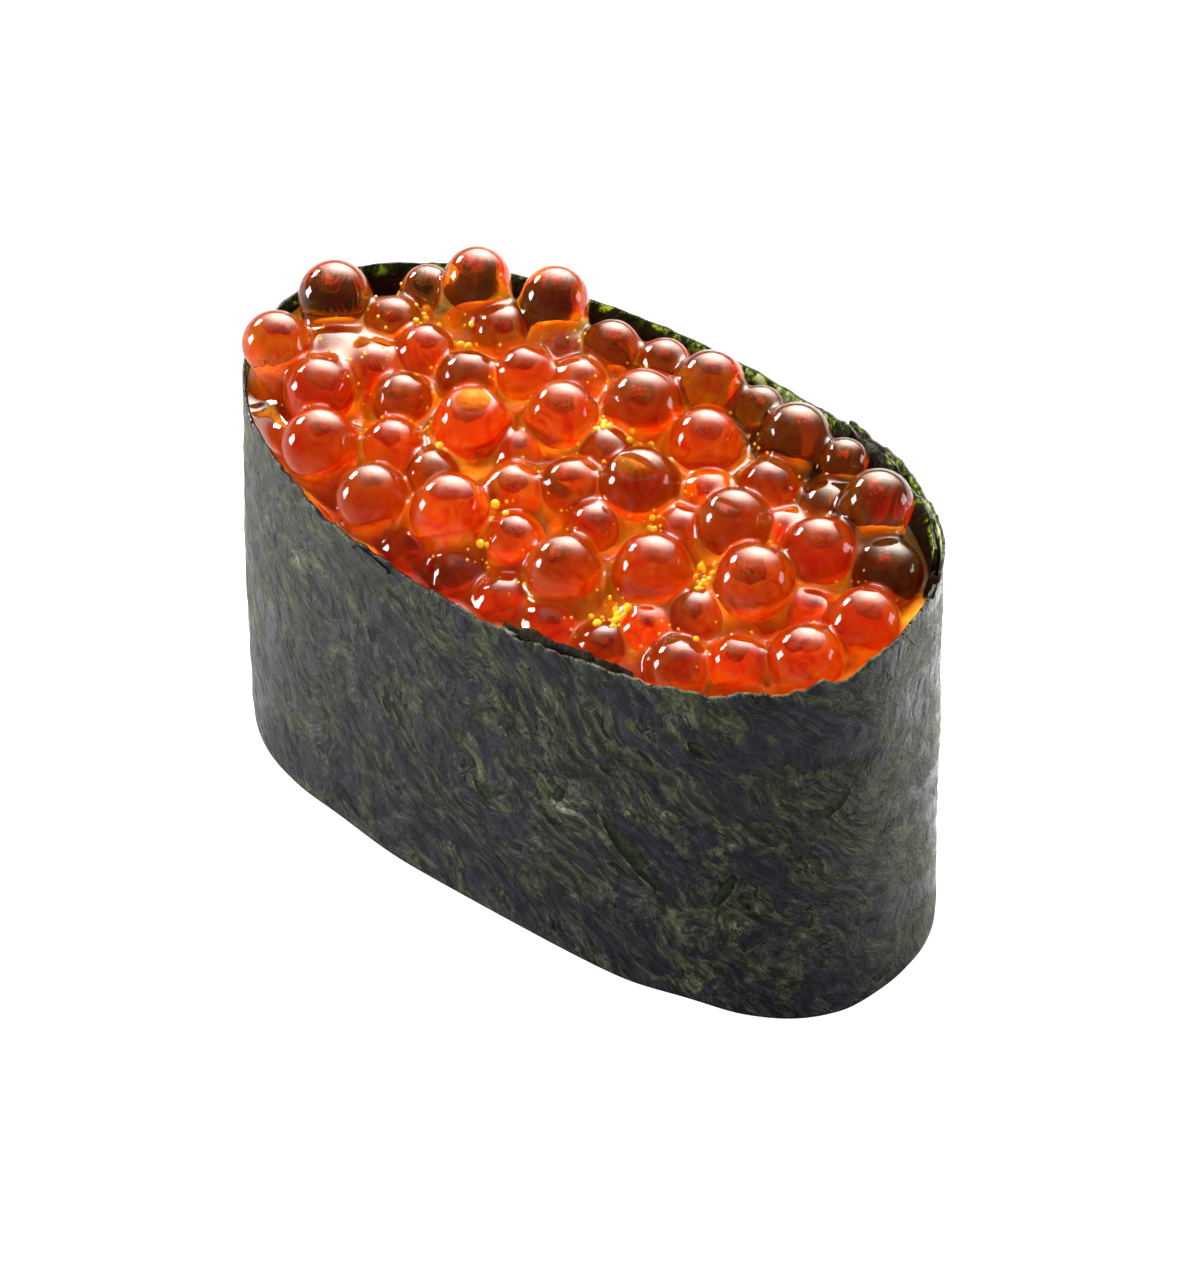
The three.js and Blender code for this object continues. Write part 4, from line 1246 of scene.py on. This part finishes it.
floor_corners = np.array([(-1, -1, 0), (1, -1, 0), (1, 1, 0), (-1, 1, 0)]) * FLOOR_HALF * MM
floor_mesh.from_pydata(floor_corners.tolist(), [], [(0, 1, 2, 3)])
floor_mesh.materials.append(floor_finish)
floor = bpy.data.objects.new("floor", floor_mesh)
bpy.context.scene.collection.objects.link(floor)


def softbox(name, way, distance, width, height, radiance):
    """A white rectangular light at a distance in a direction from the heap, facing it, in metres. Its power
    is radiance times pi times area."""
    light = bpy.data.lights.new(name, "AREA")
    light.shape = "RECTANGLE"
    light.size, light.size_y = width, height
    light.energy = radiance * pi * width * height
    lamp = bpy.data.objects.new(name, light)
    way = Vector(way).normalized()
    lamp.location = Vector(LAMPS_AIM) + way * distance
    lamp.rotation_euler = way.to_track_quat("Z", "Y").to_euler()
    bpy.context.scene.collection.objects.link(lamp)
    return lamp


softbox("left_strip", (-0.877, -0.484, 0.066), 0.6, 0.17, 0.3, 34.0)
softbox("left_lamp", (-0.901, 0.16, 0.391), 0.6, 0.18, 0.12, 80.0)
softbox("right_card", (0.758, 0.642, 0.115), 0.6, 0.25, 0.2, 8.0)
# The fill lightens matt surfaces alone: it isn't mirrored, and it doesn't shine through the roe.
front_fill = softbox("front_fill", (0.593, -0.8052, 0.55), 0.9, 0.6, 0.4, 7.2)
front_fill.visible_glossy = False
front_fill.visible_transmission = False

# The diffuser is a soft-edged panel with a brighter core, laid out by tilt, the angle in radians from
# overhead to behind, and by side, the share of the way to the right. A dim room fills the rest.
world = bpy.data.worlds.new("studio")
world.use_nodes = True
sky_tree = world.node_tree
sky_tree.nodes.clear()
sky_way = node(sky_tree, "ShaderNodeTexCoord").outputs["Generated"]
sky_side, sky_depth, sky_height = [
    node(sky_tree, "ShaderNodeVectorMath", {0: sky_way, 1: axis}, operation="DOT_PRODUCT").outputs["Value"]
    for axis in (CAMERA_RIGHT, CAMERA_AWAY, (0, 0, 1))
]
sky_tilt = node(sky_tree, "ShaderNodeMath", {0: sky_depth, 1: sky_height}, operation="ARCTAN2").outputs[0]
sky_offs = [
    share_of(sky_tree, value, middle, by="SUBTRACT") for value, middle in
    [(sky_tilt, DIFFUSER_CORE_TILT), (sky_side, DIFFUSER_CORE_SIDE), (sky_side, DIFFUSER_SIDE)]
]
off_core, off_core_side, off_side = [
    node(sky_tree, "ShaderNodeMath", {0: off}, operation="ABSOLUTE").outputs[0] for off in sky_offs
]
core = share_of(
    sky_tree, DIFFUSER_CORE,
    (off_core, 0.0, DIFFUSER_CORE_REACH, 1.0, 0.0), (off_core_side, 0.0, DIFFUSER_CORE_SIDE_REACH, 1.0, 0.0),
)
panel = share_of(
    sky_tree, share_of(sky_tree, core, 1.0, by="ADD"),
    (sky_tilt, *DIFFUSER_FRONT_EDGE), (sky_tilt, *DIFFUSER_BACK_EDGE, 1.0, 0.0),
    (off_side, *DIFFUSER_SIDE_EDGE, 1.0, 0.0), DIFFUSER_RADIANCE,
)
room = share_of(sky_tree, panel, ROOM_RADIANCE, by="ADD")
seen = node(sky_tree, "ShaderNodeLightPath").outputs["Is Camera Ray"]
glow = node(sky_tree, "ShaderNodeMix", {0: seen, 2: room, 3: 1.0}, data_type="FLOAT")
tint = node(sky_tree, "ShaderNodeMix", {0: seen, 6: linear(DIFFUSER_COLOUR), 7: WHITE}, data_type="RGBA")
sky = node(sky_tree, "ShaderNodeBackground", {"Color": tint.outputs[2], "Strength": glow.outputs[0]})
node(sky_tree, "ShaderNodeOutputWorld", {"Surface": sky.outputs[0]})
bpy.context.scene.world = world
bpy.context.scene.view_settings.view_transform = "Standard"

camera_data = bpy.data.cameras.new("camera")
camera_data.lens = CAMERA_LENS
camera_data.clip_start = CAMERA_CLIP
camera = bpy.data.objects.new("camera", camera_data)
camera.location = Vector(CAMERA_PLACE) * MM
camera.rotation_euler = (Vector(CAMERA_PLACE) - Vector(CAMERA_TARGET)).to_track_quat("Z", "Y").to_euler()
bpy.context.scene.collection.objects.link(camera)
bpy.context.scene.camera = camera
